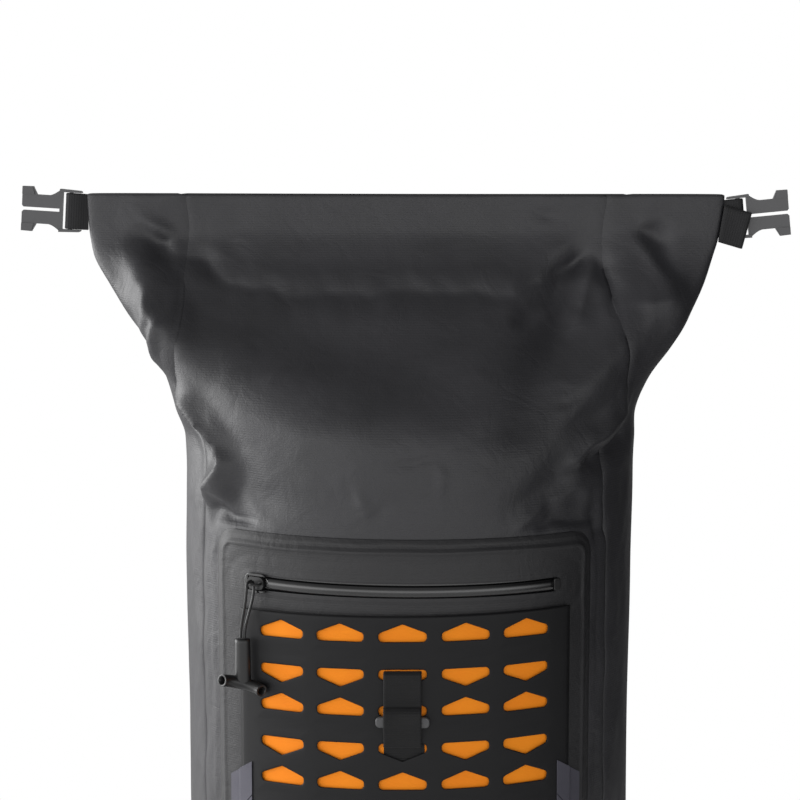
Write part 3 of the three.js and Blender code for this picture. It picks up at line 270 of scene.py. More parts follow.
def facetSheet(step, seed):
    # a crumpled sheet of flat facets, as heights on a 1 mm grid: random heights at scattered points,
    # joined by triangles
    rng = np.random.default_rng(seed)
    left, right, low, high = facetRoom
    spots = []
    for i, z in enumerate(np.arange(low - step, high + 2 * step, step * 0.86)):
        for s in np.arange(left - step, right + 2 * step, step * 1.1):
            spots.append((s + (i % 2) * step * 0.55 + rng.uniform(-0.38, 0.38) * step,
                          z + rng.uniform(-0.36, 0.36) * step))
    heights = rng.uniform(-1, 1, len(spots))
    found = delaunay_2d_cdt([Vector(p) for p in spots], [], [], 0, 0.001)
    order = [ids[0] for ids in found[3]]
    image = np.zeros((int(high - low) + 1, int(right - left) + 1))
    for face in found[2]:
        (ax, ay), (bx, by), (cx, cy) = (found[0][i] for i in face)
        ha, hb, hc = (heights[order[i]] for i in face)
        x0, x1 = max(int(min(ax, bx, cx) - left), 0), min(int(max(ax, bx, cx) - left) + 2, image.shape[1])
        y0, y1 = max(int(min(ay, by, cy) - low), 0), min(int(max(ay, by, cy) - low) + 2, image.shape[0])
        if x0 >= x1 or y0 >= y1:
            continue
        x, y = np.meshgrid(np.arange(x0, x1) + left, np.arange(y0, y1) + low)
        area = (bx - ax) * (cy - ay) - (cx - ax) * (by - ay)
        u = ((x - ax) * (cy - ay) - (cx - ax) * (y - ay)) / area
        v = ((bx - ax) * (y - ay) - (x - ax) * (by - ay)) / area
        inside = (u >= -1e-6) & (v >= -1e-6) & (u + v <= 1 + 1e-6)
        block = image[y0:y1, x0:x1]
        block[inside] = (ha + (hb - ha) * u + (hc - ha) * v)[inside]
    soft = np.array([0.25, 0.5, 0.25])
    for _ in range(2):
        image = np.apply_along_axis(lambda row: np.convolve(np.pad(row, 1, "edge"), soft, "valid"), 1, image)
        image = np.apply_along_axis(lambda row: np.convolve(np.pad(row, 1, "edge"), soft, "valid"), 0, image)
    return image


facetRoom = (-300, 820, 440, 690)  # places and heights that the sheets cover
facetLevels = [(facetSheet(44, 3), 1.9), (facetSheet(22, 8), 0.8), (facetSheet(11, 5), 0.24)]


def facets(s, z):
    left, right, low, high = facetRoom
    x = np.clip(s - left, 0, right - left - 1.001)
    y = np.clip(z - low, 0, high - low - 1.001)
    i, j = x.astype(int), y.astype(int)
    u, v = x - i, y - j
    total = np.zeros(x.shape)
    for image, height in facetLevels:
        total += height * (image[j, i] * (1 - u) * (1 - v) + image[j, i + 1] * u * (1 - v)
                           + image[j + 1, i] * (1 - u) * v + image[j + 1, i + 1] * u * v)
    return total


def creasing(s, z):
    # finer creases on top of the big folds; nothing under the pocket, the back pad or the yoke
    s, z = np.broadcast_arrays(np.asarray(s, float), np.asarray(z, float))
    ds = s + crumple["wander"] * drift(s, z, crumple["wanderSize"], 1)
    dz = z + crumple["wander"] * drift(s, z, crumple["wanderSize"], 2)
    rise = np.zeros(s.shape)
    for height, left, right, sharp, line in creases:
        if z.max() < min(p[1] for p in line) - 34 or z.min() > max(p[1] for p in line) + 34:
            continue
        far, side, along, total = lineDistance(ds, dz, line)
        ends = np.minimum(1, np.minimum(along, 1 - along) * total / crumple["fade"] + crumple["least"])
        near = np.clip(1 - far / np.where(side > 0, right, left), 0, 1)
        rise += crumple["crease"] * height * ends * near ** sharp
    upper = smooth(z, 480, 560)
    rise += upper * crumple["drift"] * drift(s, z, crumple["driftSize"], 3)
    busy = crumple["quiet"] + (1 - crumple["quiet"]) * smooth(np.abs(np.abs(s) - 190), 120, 40)
    busy = busy * (1 + crumple["left"] * smooth(-s, 140, 160))
    busy = busy * smooth(z, 474, 500) * (1 - crumple["mouth"] * (1 - smooth(z, 676, 640)))
    rise += crumple["facets"] * facets(s, z) * busy
    beside = smooth(np.abs(s), crumple["besideFrom"], crumple["besideFrom"] + 10)
    rise += beside * (1 - upper) * crumple["beside"] * drift(s * 3.2, z, 60, 5)
    # calm where the outline is seen, a little in front of the widest place
    calm = crumple["calm"]
    rise *= calm + (1 - calm) * smooth(fromTip(s, z, crumple["calmPlace"]), 14, 42)
    above = smooth(z, 470, 477)
    return rise * (above + (1 - above) * smooth(np.abs(s - pocketShift), crumple["pocketSide"], 137))


def onCloth(s, z, lift=0.0, creased=False, inset=0.0, ownZ=None):
    s, z, lift = np.broadcast_arrays(np.asarray(s, float), np.asarray(z, float), np.asarray(lift, float))
    x, y, nx, ny = (np.empty(s.shape) for _ in range(4))
    level = np.round(z, 2)
    for height in np.unique(level):
        pick = level == height
        ox, oy, onx, ony, lengths = outlineAt(height)
        goal = np.mod(s[pick] + lengths[-1] / 2, lengths[-1])
        nx[pick], ny[pick] = np.interp(goal, lengths, onx), np.interp(goal, lengths, ony)
        if inset:
            ix, iy, _, _, inner = outlineAt(height, inset)
            goal = goal * inner[-1] / lengths[-1]
            x[pick], y[pick] = np.interp(goal, inner, ix), np.interp(goal, inner, iy)
        else:
            x[pick], y[pick] = np.interp(goal, lengths, ox), np.interp(goal, lengths, oy)
    size = np.hypot(nx, ny)
    rise = lift + relief(s, z) + (creasing(s, z) if creased else 0)
    top = z if ownZ is None else np.broadcast_to(ownZ, z.shape)
    return np.stack([x + nx / size * rise, y + ny / size * rise, top], -1) * mm


def onBack(side, z, lift=0.0):
    side, z = np.broadcast_arrays(np.asarray(side, float), np.asarray(z, float))
    girths = np.vectorize(girthAt)(z)
    return onCloth(girths / 2 - side, z, lift)


# Making pieces


def put(tree, kind, inputs=None, **settings):
    node = tree.nodes.new(kind)
    for key, value in settings.items():
        setattr(node, key, value)
    for key, value in (inputs or {}).items():
        if isinstance(value, bpy.types.NodeSocket):
            tree.links.new(value, node.inputs[key])
        else:
            node.inputs[key].default_value = value
    return node


def newObject(name, data):
    made = bpy.data.objects.new(name, data)
    bpy.context.scene.collection.objects.link(made)
    return made


def declare(piece, nodes=()):
    if nodes:
        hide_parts(*nodes)
    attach(piece, "root")
    return piece


def addPiece(name, points, faces, material, nodes=(), uv=None, sharp=40):
    mesh = bpy.data.meshes.new(name)
    mesh.from_pydata([tuple(p) for p in points], [], faces)
    if uv is not None:
        layer = mesh.uv_layers.new(name="cloth")
        corner = np.zeros(len(mesh.loops), np.int32)
        mesh.loops.foreach_get("vertex_index", corner)
        layer.data.foreach_set("uv", np.asarray(uv, np.float32)[corner].ravel())
    mesh.validate()
    piece = newObject(name, mesh)
    mesh.materials.append(material)
    mesh.shade_smooth()
    mesh.set_sharp_from_angle(angle=math.radians(sharp))
    return declare(piece, nodes)


def tubeFaces(rings, count, first=0):
    # faces between rings of count points, with a cap at each end
    faces = []
    for k in range(rings - 1):
        for i in range(count):
            a, b = first + k * count + i, first + k * count + (i + 1) % count
            faces.append((a, b, b + count, a + count))
    last = first + (rings - 1) * count
    return faces + [tuple(first + i for i in reversed(range(count))), tuple(last + i for i in range(count))]


def sheetFaces(rows, columns, keep=None):
    # faces of the outer and the inner grid of a sheet, and the edges that its rim joins
    faces, edges = [], {}
    for r in range(rows - 1):
        for c in range(columns - 1):
            if keep and not keep(r, c):
                continue
            a = r * columns + c
            ring = (a, a + 1, a + columns + 1, a + columns)
            faces += [ring, tuple(i + rows * columns for i in reversed(ring))]
            edges.update({(ring[i], ring[(i + 1) % 4]): True for i in range(4)})
    return faces, [(a, b) for a, b in edges if (b, a) not in edges]


def sheetPiece(name, outer, inner, material, nodes=(), uv=None, keep=None, sharp=40, swell=0.3):
    # a closed sheet between two grids of points, with a rounded rim
    rows, columns = outer.shape[:2]
    count = rows * columns
    faces, rim = sheetFaces(rows, columns, keep)
    points = np.concatenate([outer.reshape(-1, 3), inner.reshape(-1, 3)])
    middle, extra = {}, []
    for a in dict.fromkeys(i for edge in rim for i in edge):
        around = [points[i] for i in (a - 1, a + 1, a - columns, a + columns) if 0 <= i < count]
        thick = np.linalg.norm(points[a] - points[a + count])
        inward = np.mean(around, axis=0) - points[a]
        size = np.linalg.norm(inward)
        middle[a] = len(points) + len(extra)
        extra.append((points[a] + points[a + count]) / 2
                     - (inward / size * thick * swell if size > 1e-9 else 0))
    for a, b in rim:
        faces += [(b, a, middle[a], middle[b]), (middle[b], middle[a], a + count, b + count)]
    if uv is not None:
        uv = uv.reshape(-1, 2)
        uv = np.concatenate([uv, uv, uv[list(middle)]])
    return addPiece(name, np.concatenate([points, extra]), faces, material, nodes, uv, sharp)


def clothUv(s, z):
    return np.stack(np.broadcast_arrays(np.asarray(s, float), np.asarray(z, float)), -1) * mm


def spread(*spans):
    # numbers from span to span, each span (from, to, step)
    values = [spans[0][0]]
    for low, high, step in spans:
        count = max(1, round(abs(high - low) / step))
        values += list(np.linspace(low, high, count + 1)[1:])
    return np.array(values)


# Materials


def calc(tree, operation, *values):
    return put(tree, "ShaderNodeMath", dict(enumerate(values)), operation=operation).outputs[0]


def ramp(tree, value, low, high, first=0.0, last=1.0, kind="SMOOTHSTEP"):
    limits = {0: value, 1: low, 2: high, 3: first, 4: last}
    return put(tree, "ShaderNodeMapRange", limits, interpolation_type=kind).outputs[0]


def newMaterial(name, colour, roughness, specular=0.5):
    material = bpy.data.materials.new(name)
    material.use_nodes = True
    tree = material.node_tree
    shader = tree.nodes["Principled BSDF"]
    shader.inputs["Base Color"].default_value = (*colour, 1)
    shader.inputs["Roughness"].default_value = roughness
    shader.inputs["Specular IOR Level"].default_value = specular
    return material, tree, shader


def onObject(tree):
    return put(tree, "ShaderNodeTexCoord").outputs["Object"]


def onMap(tree):
    return put(tree, "ShaderNodeUVMap", uv_map="cloth").outputs[0]


def vary(tree, shader, place, dark, light, scale, low, high, roughLow, roughHigh):
    # colour and roughness that wander over the surface
    cloud = put(tree, "ShaderNodeTexNoise", {"Vector": place, "Scale": scale, "Detail": 5, "Roughness": 0.6})
    cloud = cloud.outputs["Fac"]
    mix = put(tree, "ShaderNodeMix", {6: (*dark, 1), 7: (*light, 1)}, data_type="RGBA")
    tree.links.new(ramp(tree, cloud, low, high, kind="LINEAR"), mix.inputs["Factor"])
    tree.links.new(mix.outputs[2], shader.inputs["Base Color"])
    tree.links.new(ramp(tree, cloud, low, high, roughLow, roughHigh, "LINEAR"), shader.inputs["Roughness"])


def bump(tree, shader, height, distance, strength):
    # one more bump on top of those that the shader has
    node = put(tree, "ShaderNodeBump", {"Height": height, "Distance": distance, "Strength": strength})
    chain = shader.inputs["Normal"]
    if chain.is_linked:
        tree.links.new(chain.links[0].from_socket, node.inputs["Normal"])
    tree.links.new(node.outputs["Normal"], chain)


def grain(tree, shader, place, scale, detail, distance, strength, roughness=0.5):
    noise = {"Vector": place, "Scale": scale, "Detail": detail, "Roughness": roughness}
    bump(tree, shader, put(tree, "ShaderNodeTexNoise", noise).outputs["Fac"], distance, strength)


def wave(tree, value, period):
    return calc(tree, "SINE", calc(tree, "MULTIPLY", value, 2 * math.pi / period))


def weave(tree, across, along):
    parts = put(tree, "ShaderNodeSeparateXYZ", {0: onMap(tree)})
    weft, warp = wave(tree, parts.outputs["Y"], along), wave(tree, parts.outputs["X"], across)
    return calc(tree, "MULTIPLY_ADD", calc(tree, "MULTIPLY", weft, warp), 0.35, weft)


clothLook = {"dark": (0.018, 0.018, 0.0205), "light": (0.028, 0.0275, 0.0315), "weft": 0.00155,
             "warp": 0.0011}


def makeCoatedCloth(name, dark, light, roughLow, roughHigh, weaveDepth):
    material, tree, shader = newMaterial(name, dark, 0.42, 0.56)
    place = onObject(tree)
    vary(tree, shader, place, dark, light, 9, 0.35, 0.66, roughLow, roughHigh)
    bump(tree, shader, weave(tree, clothLook["warp"], clothLook["weft"]), weaveDepth, 0.8)
    folds = put(tree, "ShaderNodeTexNoise", {"Vector": place, "Scale": 42, "Detail": 4, "Distortion": 0.7})
    ridge = calc(tree, "ABSOLUTE", calc(tree, "SUBTRACT", folds.outputs["Fac"], 0.5))
    bump(tree, shader, ridge, 0.0022, 0.4)
    grain(tree, shader, place, 150, 4, 0.0006, 0.35, 0.65)
    grain(tree, shader, place, 900, 3, 0.00022, 0.6)
    return material


coatedCloth = makeCoatedCloth("coatedCloth", clothLook["dark"], clothLook["light"], 0.46, 0.56, 0.00002)
pocketCloth = makeCoatedCloth("pocketCloth", (0.0085, 0.0083, 0.0098), (0.0125, 0.0122, 0.014), 0.48, 0.58,
                              0.000014)


def makeLashSheet():
    material, tree, shader = newMaterial("lashSheet", (0.007, 0.007, 0.008), 0.5, 0.26)
    place = onObject(tree)
    vary(tree, shader, place, (0.006, 0.006, 0.0068), (0.0085, 0.0085, 0.0095), 14, 0.35, 0.65, 0.48, 0.58)
    grain(tree, shader, place, 900, 3, 0.0001, 0.5)
    return material


def makeOrangeSheet():
    material, tree, shader = newMaterial("orangeSheet", (0.9, 0.25, 0.008), 0.6, 0.2)
    vary(tree, shader, onObject(tree), (0.9, 0.235, 0.007), (0.96, 0.29, 0.012), 12, 0.35, 0.65, 0.6, 0.7)
    bump(tree, shader, weave(tree, 0.0009, 0.0009), 0.00004, 0.6)
    return material


def makePlastic(name, dark, light, roughLow, roughHigh, specular=0.5):
    material, tree, shader = newMaterial(name, dark, roughLow, specular)
    place = onObject(tree)
    vary(tree, shader, place, dark, light, 60, 0.35, 0.65, roughLow, roughHigh)
    grain(tree, shader, place, 1500, 2, 0.00006, 0.5)
    return material


def makeWebbing(name, dark, light):
    # ribs across the strap and a fine twill between them, on the strap's own (across, along) map
    material, tree, shader = newMaterial(name, dark, 0.7, 0.35)
    shader.inputs["Sheen Weight"].default_value = 0.05
    shader.inputs["Sheen Roughness"].default_value = 0.5
    vary(tree, shader, onObject(tree), dark, light, 90, 0.3, 0.7, 0.6, 0.75)
    parts = put(tree, "ShaderNodeSeparateXYZ", {0: onMap(tree)})
    across, along = parts.outputs["X"], parts.outputs["Y"]
    twill = wave(tree, calc(tree, "ADD", across, along), 0.0013)
    height = calc(tree, "MULTIPLY_ADD", wave(tree, across, 0.0021), 0.35, wave(tree, along, 0.0016))
    bump(tree, shader, calc(tree, "MULTIPLY_ADD", twill, 0.5, height), 0.00007, 0.7)
    return material


def makeReflective():
    material, tree, shader = newMaterial("reflectiveTape", (0.05, 0.048, 0.062), 0.34)
    shader.inputs["Metallic"].default_value = 0.25
    vary(tree, shader, onObject(tree), (0.072, 0.07, 0.09), (0.09, 0.088, 0.11), 20, 0.35, 0.65, 0.3, 0.42)
    beads = put(tree, "ShaderNodeTexVoronoi", {"Vector": onMap(tree), "Scale": 1600})
    bump(tree, shader, beads.outputs["Distance"], 0.00006, 0.6)
    return material


def makeMesh():
    # open spacer mesh: rows of small hexagonal dimples
    material, tree, shader = newMaterial("spacerMesh", (0.018, 0.018, 0.019), 0.85)
    shader.inputs["Sheen Weight"].default_value = 0.15
    shader.inputs["Sheen Roughness"].default_value = 0.6
    place = onObject(tree)
    vary(tree, shader, place, (0.012, 0.012, 0.013), (0.026, 0.026, 0.028), 30, 0.3, 0.7, 0.8, 0.92)
    parts = put(tree, "ShaderNodeSeparateXYZ", {0: place})
    across, up = parts.outputs["X"], parts.outputs["Z"]
    slants = [wave(tree, calc(tree, "MULTIPLY_ADD", across, way * math.sqrt(3), up), 0.0072)
              for way in (1, -1)]
    total = calc(tree, "ADD", calc(tree, "ADD", *slants), wave(tree, up, 0.0036))
    bump(tree, shader, ramp(tree, total, -0.4, 1.4), 0.0007, 0.8)
    return material


lashSheet = makeLashSheet()
orangeSheet = makeOrangeSheet()
clipPlastic = makePlastic("clipPlastic", (0.055, 0.055, 0.058), (0.07, 0.07, 0.074), 0.3, 0.42, 0.62)
blackPlastic = makePlastic("blackPlastic", (0.008, 0.008, 0.0085), (0.012, 0.012, 0.0125), 0.3, 0.42)
zipRubber = makePlastic("zipRubber", (0.0035, 0.0035, 0.004), (0.005, 0.005, 0.0055), 0.13, 0.2, 0.95)
webbing = makeWebbing("webbing", (0.008, 0.008, 0.009), (0.014, 0.014, 0.0155))
loopWebbing = makeWebbing("loopWebbing", (0.0028, 0.0028, 0.0032), (0.0048, 0.0048, 0.0055))
reflectiveTape = makeReflective()
spacerMesh = makeMesh()
thread = makePlastic("thread", (0.03, 0.03, 0.031), (0.045, 0.045, 0.047), 0.6, 0.75, 0.3)
print("materials made")

# Zip pull cord, over the slider's ring and into the grip
zipLook = {"z": 438, "left": -99, "right": 105, "slot": 9, "tapeFace": 1.2, "sliderLength": 12,
           "sliderRise": 4.5,
           "bail": 3.4}
pull = {"cord": 1.8, "drop": 35.5, "shift": -5.4, "stem": 29, "stemSide": 4.82, "stemOut": 3.53, "bar": 3.9,
        "bend": 17, "reach": 50, "tilt": 14}
layers = {"pocket": 3.2, "gap": 0.4, "backing": 0.8, "lash": 1.5}
pocketFace = layers["pocket"]
lashFace = pocketFace + 2 * layers["gap"] + layers["backing"] + layers["lash"]
sliderAt = zipLook["left"] + zipLook["sliderLength"] / 2 + 0.3
sliderTop = zipLook["tapeFace"] + 0.3 + zipLook["sliderRise"]
bailLift = sliderTop + zipLook["bail"] * 0.55
gripTop = onCloth(sliderAt + pull["shift"], zipLook["z"] - pull["drop"], lashFace + pull["bar"] + 2)
ring = onCloth(sliderAt, zipLook["z"], bailLift + zipLook["bail"])


def smoothLine(points, count):
    # a smooth line through the points
    points = [Vector(p) for p in points]
    ends = [points[0] * 2 - points[1], *points, points[-1] * 2 - points[-2]]
    made = []
    for i in range(count):
        t = i * (len(points) - 1) / (count - 1)
        k = min(int(t), len(points) - 2)
        t -= k
        a, b, c, d = ends[k:k + 4]
        made.append(0.5 * (2 * b + (c - a) * t + (2 * a - 5 * b + 4 * c - d) * t * t
                           + (3 * b - a - 3 * c + d) * t ** 3))
    return made


def roundCurve(name, points, radius, material, nodes=()):
    curve = bpy.data.curves.new(name, "CURVE")
    curve.dimensions = "3D"
    curve.bevel_depth = radius
    curve.bevel_resolution = 4
    curve.use_fill_caps = True
    spline = curve.splines.new("POLY")
    spline.points.add(len(points) - 1)
    for spot, p in zip(spline.points, points):
        spot.co = (*p, 1)
    curve.materials.append(material)
    return declare(newObject(name, curve), nodes)


def near(base, x, y, z):
    return Vector(base) + Vector((x, y, z)) * mm


legs = pull["cord"] / 2 + 0.3
loop = {"side": 2.0, "out": 3.3, "up": 3.9, "middle": -0.9, "low": -1.35}  # half circle over the ring
cordLoop = [near(ring, -loop["side"] * math.cos(turn), loop["middle"] - loop["out"] * math.cos(turn),
                 loop["low"] + loop["up"] * math.sin(turn)) for turn in np.linspace(0, math.pi, 25)]


def cordLeg(top, bottom):
    # a leg of the cord, straight down from the loop and into the grip
    drop = Vector((0, 0, bottom[2] - top[2]))
    leg = []
    for t in np.linspace(0, 1, 30)[1:]:
        leg.append(top * (2 * t ** 3 - 3 * t ** 2 + 1) + drop * (t ** 3 - 2 * t ** 2 + t)
                   + bottom * (3 * t ** 2 - 2 * t ** 3) + drop * (t ** 3 - t ** 2))
    return leg


cordFine = np.array(cordLeg(cordLoop[0], near(gripTop, -legs, 0, 0.6))[::-1] + cordLoop
                    + cordLeg(cordLoop[-1], near(gripTop, legs, 0, 0.6)))
cordRun = np.concatenate([[0], np.cumsum(np.linalg.norm(np.diff(cordFine, axis=0), axis=1))])
cordEven = np.linspace(0, cordRun[-1], 40)
cordLine = [Vector([float(np.interp(at, cordRun, cordFine[:, i])) for i in range(3)]) for at in cordEven]
pullCord = roundCurve("pullCord", cordLine, pull["cord"] / 2 * mm, blackPlastic,
                      ["pull_cord"])

# Shell panels
shellGrid = {"rowsLow": 9, "rowsHigh": 2.2, "change": 452, "frontColumns": 126, "backColumns": 96,
             "gusset": 34}
groove = {"deep": 0.55, "wide": 1.1, "welt": 0.2, "weltAt": 6,
          "weltWide": 2.2}  # pressed line along each seam


def shellRows():
    # (height, inset, inner height, inner inset) of each row, round the base's edge and up to the mouth
    outer, inner, rows = bag["baseRound"], bag["baseRound"] - bag["wall"], []
    for turn in np.radians(np.linspace(90, 0, 9)[:-1]):
        rows.append((outer * (1 - math.sin(turn)), outer * (1 - math.cos(turn)),
                     outer - inner * math.sin(turn), outer - inner * math.cos(turn)))
    change = shellGrid["change"]
    for z in spread((outer, change, shellGrid["rowsLow"]), (change, bag["height"], shellGrid["rowsHigh"])):
        rows.append((z, 0, z, bag["wall"]))
    return rows


def shellPanel(name, placesAt, node):
    outer, inner, uv = [], [], []
    for z, inset, innerZ, innerInset in shellRows():
        places = placesAt(z)
        edge = np.minimum(places - places[0], places[-1] - places)
        pressed = -groove["deep"] * np.clip(1 - edge / groove["wide"], 0, 1) ** 2
        pressed += groove["welt"] * np.exp(-((edge - groove["weltAt"]) / groove["weltWide"]) ** 2)
        pressed *= 0 if inset else 1
        outer.append(onCloth(places, z, pressed, True, inset, z))
        inner.append(onCloth(places, z, pressed, True, innerInset, innerZ))
        uv.append(clothUv(places, z))
    return sheetPiece(name, np.array(outer), np.array(inner), coatedCloth, [node],
                      np.array(uv),
                      sharp=75)


def frontPlaces(z):
    side = seamAt(z) - bag["gap"]
    return seamLean(z) + np.linspace(-side, side, shellGrid["frontColumns"] + 1)


def backPlaces(z):
    side = bag["seam"] - bag["gap"]
    return girthAt(z) / 2 + np.linspace(-side, side, shellGrid["backColumns"] + 1)


def gussetPlaces(z, side):
    start, tip = seamAt(z) + side * seamLean(z) + bag["gap"], tipAt(z)
    end = girthAt(z) / 2 - bag["seam"] - bag["gap"]
    count = shellGrid["gusset"]
    ease = 1 - (1 - np.linspace(0, 1, count + 1)) ** 1.5
    places = np.concatenate([start + ease * (tip - start), tip + (1 - ease[::-1][1:]) * (end - tip)])
    return places if side > 0 else -places[::-1]


shellPanel("frontPanel", frontPlaces, "front_panel")
shellPanel("backPanel", backPlaces, "back_panel")
shellPanel("gussetLeft", lambda z: gussetPlaces(z, -1), "gusset_left")
shellPanel("gussetRight", lambda z: gussetPlaces(z, 1), "gusset_right")


def makeBase():
    parts = (frontPlaces(0), gussetPlaces(0, 1), backPlaces(0), gussetPlaces(0, -1))
    places = np.concatenate([part[::2] for part in parts])
    rim = onCloth(places, 0, 0, False, bag["baseRound"] + 0.3)
    middle, count = rim.mean(axis=0), len(places)
    rings = [middle + (rim - middle) * share for share in (1, 0.985, 0.8, 0.55, 0.3, 0.08)]
    layer = len(rings) * count
    points, faces, uv = [], [], []
    for top in (0, bag["wall"] * mm):
        for k, one in enumerate(rings):
            up = 0.0004 if top == 0 and k == 0 else top
            points += [(p[0], p[1], up) for p in one]
            uv += [(p[0], p[1]) for p in one]
    under = [face[::-1] for face in tubeFaces(len(rings), count)[:-2]]
    faces = under + [tuple(range(layer))[-count:][::-1]]
    faces += [tuple(layer + i for i in reversed(face)) for face in faces]
    faces += [(i, (i + 1) % count, layer + (i + 1) % count, layer + i) for i in range(count)]
    return addPiece("basePanel", points, faces, coatedCloth, ["base_panel"], uv)


makeBase()
print("shell made")

# Pocket with its pressed border and the slot for the zip
pocket = {"half": 132, "shift": pocketShift, "low": 58, "high": 470, "corner": 16, "edge": 0.55, "ramp": 9,
          "bead": (0.6, 2.6, 1.7), "line": (0.7, 8, 1.3), "lip": (0.5, 1.4, 1.3), "hollow": (-0.25, 13, 3)}


def pocketLift(s, z):
    # height of the pocket's face: its edge, the pressed lines beside it and the lip round the zip
    dx, dz = pocket["half"] - np.abs(s - pocket["shift"]), np.minimum(z - pocket["low"], pocket["high"] - z)
    corner = pocket["corner"]
    inCorner = (dx < corner) & (dz < corner)
    far = np.where(inCorner, corner - np.hypot(np.minimum(dx - corner, 0), np.minimum(dz - corner, 0)),
                   np.minimum(dx, dz))
    waver = far + 0.5 * drift(s, z, 70, 6)
    middle, half = (zipLook["left"] + zipLook["right"]) / 2, (zipLook["right"] - zipLook["left"]) / 2
    gap = np.hypot(np.maximum(0, np.abs(s - middle) - half), z - zipLook["z"]) - zipLook["slot"] / 2

    def ridge(name, at):
        height, place, wide = pocket[name]
        return height * np.exp(-((at - place) / wide) ** 2)

    lift = pocket["edge"] + (pocketFace - pocket["edge"]) * smooth(far, 0, pocket["ramp"])
    raised = lift + ridge("bead", waver) * smooth(far, 0, 1.5) + ridge("line", waver)
    return raised + ridge("lip", gap) + ridge("hollow", gap)


def makePocket():
    left, right, middle = zipLook["left"], zipLook["right"], zipLook["z"]
    slotLow, slotHigh = middle - zipLook["slot"] / 2, middle + zipLook["slot"] / 2
    low, high, corner = pocket["low"], pocket["high"], pocket["corner"]
    rows = spread((low, low + 18, 1.1), (low + 18, 408, 9), (408, slotLow, 1.6), (slotLow, slotHigh, 4.5),
                  (slotHigh, high - 17, 1.5), (high - 17, high, 0.95))
    edges = np.concatenate([np.linspace(0, 16, 15), np.linspace(16, 28, 7)[1:]]) / 28
    inside = spread((left, left + 6, 1), (left + 6, right - 6, 3), (right - 6, right, 1))
    columns = []
    for z in rows:
        short = max(0, corner - min(z - low, high - z))
        half = pocket["half"] - (corner - math.sqrt(max(0, corner ** 2 - short ** 2)))
        start, end = pocket["shift"] - half, pocket["shift"] + half
        columns.append(np.concatenate([start + edges * (left - start), inside[1:],
                                       (end - edges[::-1] * (end - right))[1:]]))
    s = np.array(columns)
    z = np.repeat(rows[:, None], s.shape[1], 1)
    slotRow = int(np.argmin(np.abs(rows - slotLow)))
    bend = zipLook["slot"] / 2
    for r in (slotRow, slotRow + 2):
        for end, way in ((left, 1), (right, -1)):
            into = (s[r] - end) * way
            bow = np.sqrt(np.clip(1 - ((bend - into) / bend) ** 2, 0, 1))
            bent = middle + (z[r] - middle) * np.maximum(bow, 0.08)
            z[r] = np.where((into >= -0.01) & (into < bend), bent, z[r])
    lift = pocketLift(s, z)
    under = np.minimum(lift - 0.4, np.where(lift < pocketFace - 0.2, 0.4, 1.7))
    inner = onCloth(s, z, np.maximum(under, 0.25))
    first, last = (int(np.argmin(np.abs(s[slotRow] - end))) for end in (left, right))

    def keep(r, c):
        return not (slotRow <= r < slotRow + 2 and first <= c < last)

    sheetPiece("pocketPanel", onCloth(s, z, lift), inner, pocketCloth, ["pocket_panel"],
               clothUv(s, z),
               keep, sharp=70)


makePocket()
print("pocket made")

# Perforated lash panel: one cell with its slot, repeated by nodes, then laid over the pocket
lash = {"columns": 5, "rows": 11, "spacing": 38.5, "slotWidth": 29.4, "slotHeight": 11, "shoulder": 5.4,
        "endRadius": 2.7, "peakRadius": 1.4, "bar": 17.8, "peakGap": 7.8, "first": 406.4, "side": 11.8,
        "end": 1.2,
        "shift": 2.7, "slant": 0.015, "backingInset": 3, "backingHalf": 97.25}
lash["step"] = lash["slotHeight"] + (lash["bar"] + lash["peakGap"]) / 2
lash["top"] = lash["first"] + lash["slotHeight"] + lash["peakGap"] / 2
lash["bottom"] = lash["top"] - lash["rows"] * lash["step"]
lash["half"] = lash["columns"] * lash["spacing"] / 2


def onLash(s, z, lift):
    # over the front in the lash panel's own place and slant
    s, z = np.broadcast_arrays(np.asarray(s, float), np.asarray(z, float))
    return onCloth(s + lash["shift"], z + lash["slant"] * s, lift)


def roundCorners(corners, steps=5):
    # corners are (x, z, radius), anticlockwise
    made = []
    for i, (x, z, radius) in enumerate(corners):
        before, after = Vector(corners[i - 1][:2]), Vector(corners[(i + 1) % len(corners)][:2])
        here = Vector((x, z))
        a, b = (before - here).normalized(), (after - here).normalized()
        angle = a.angle(b)
        reach = radius / math.tan(angle / 2)
        middle = here + (a + b).normalized() * radius / math.sin(angle / 2)
        start, end = here + a * reach - middle, here + b * reach - middle
        turn = start.angle_signed(end)
        for k in range(steps + 1):
            c = Matrix.Rotation(-turn * k / steps, 2) @ start
            made.append(tuple(middle + c))
    return made


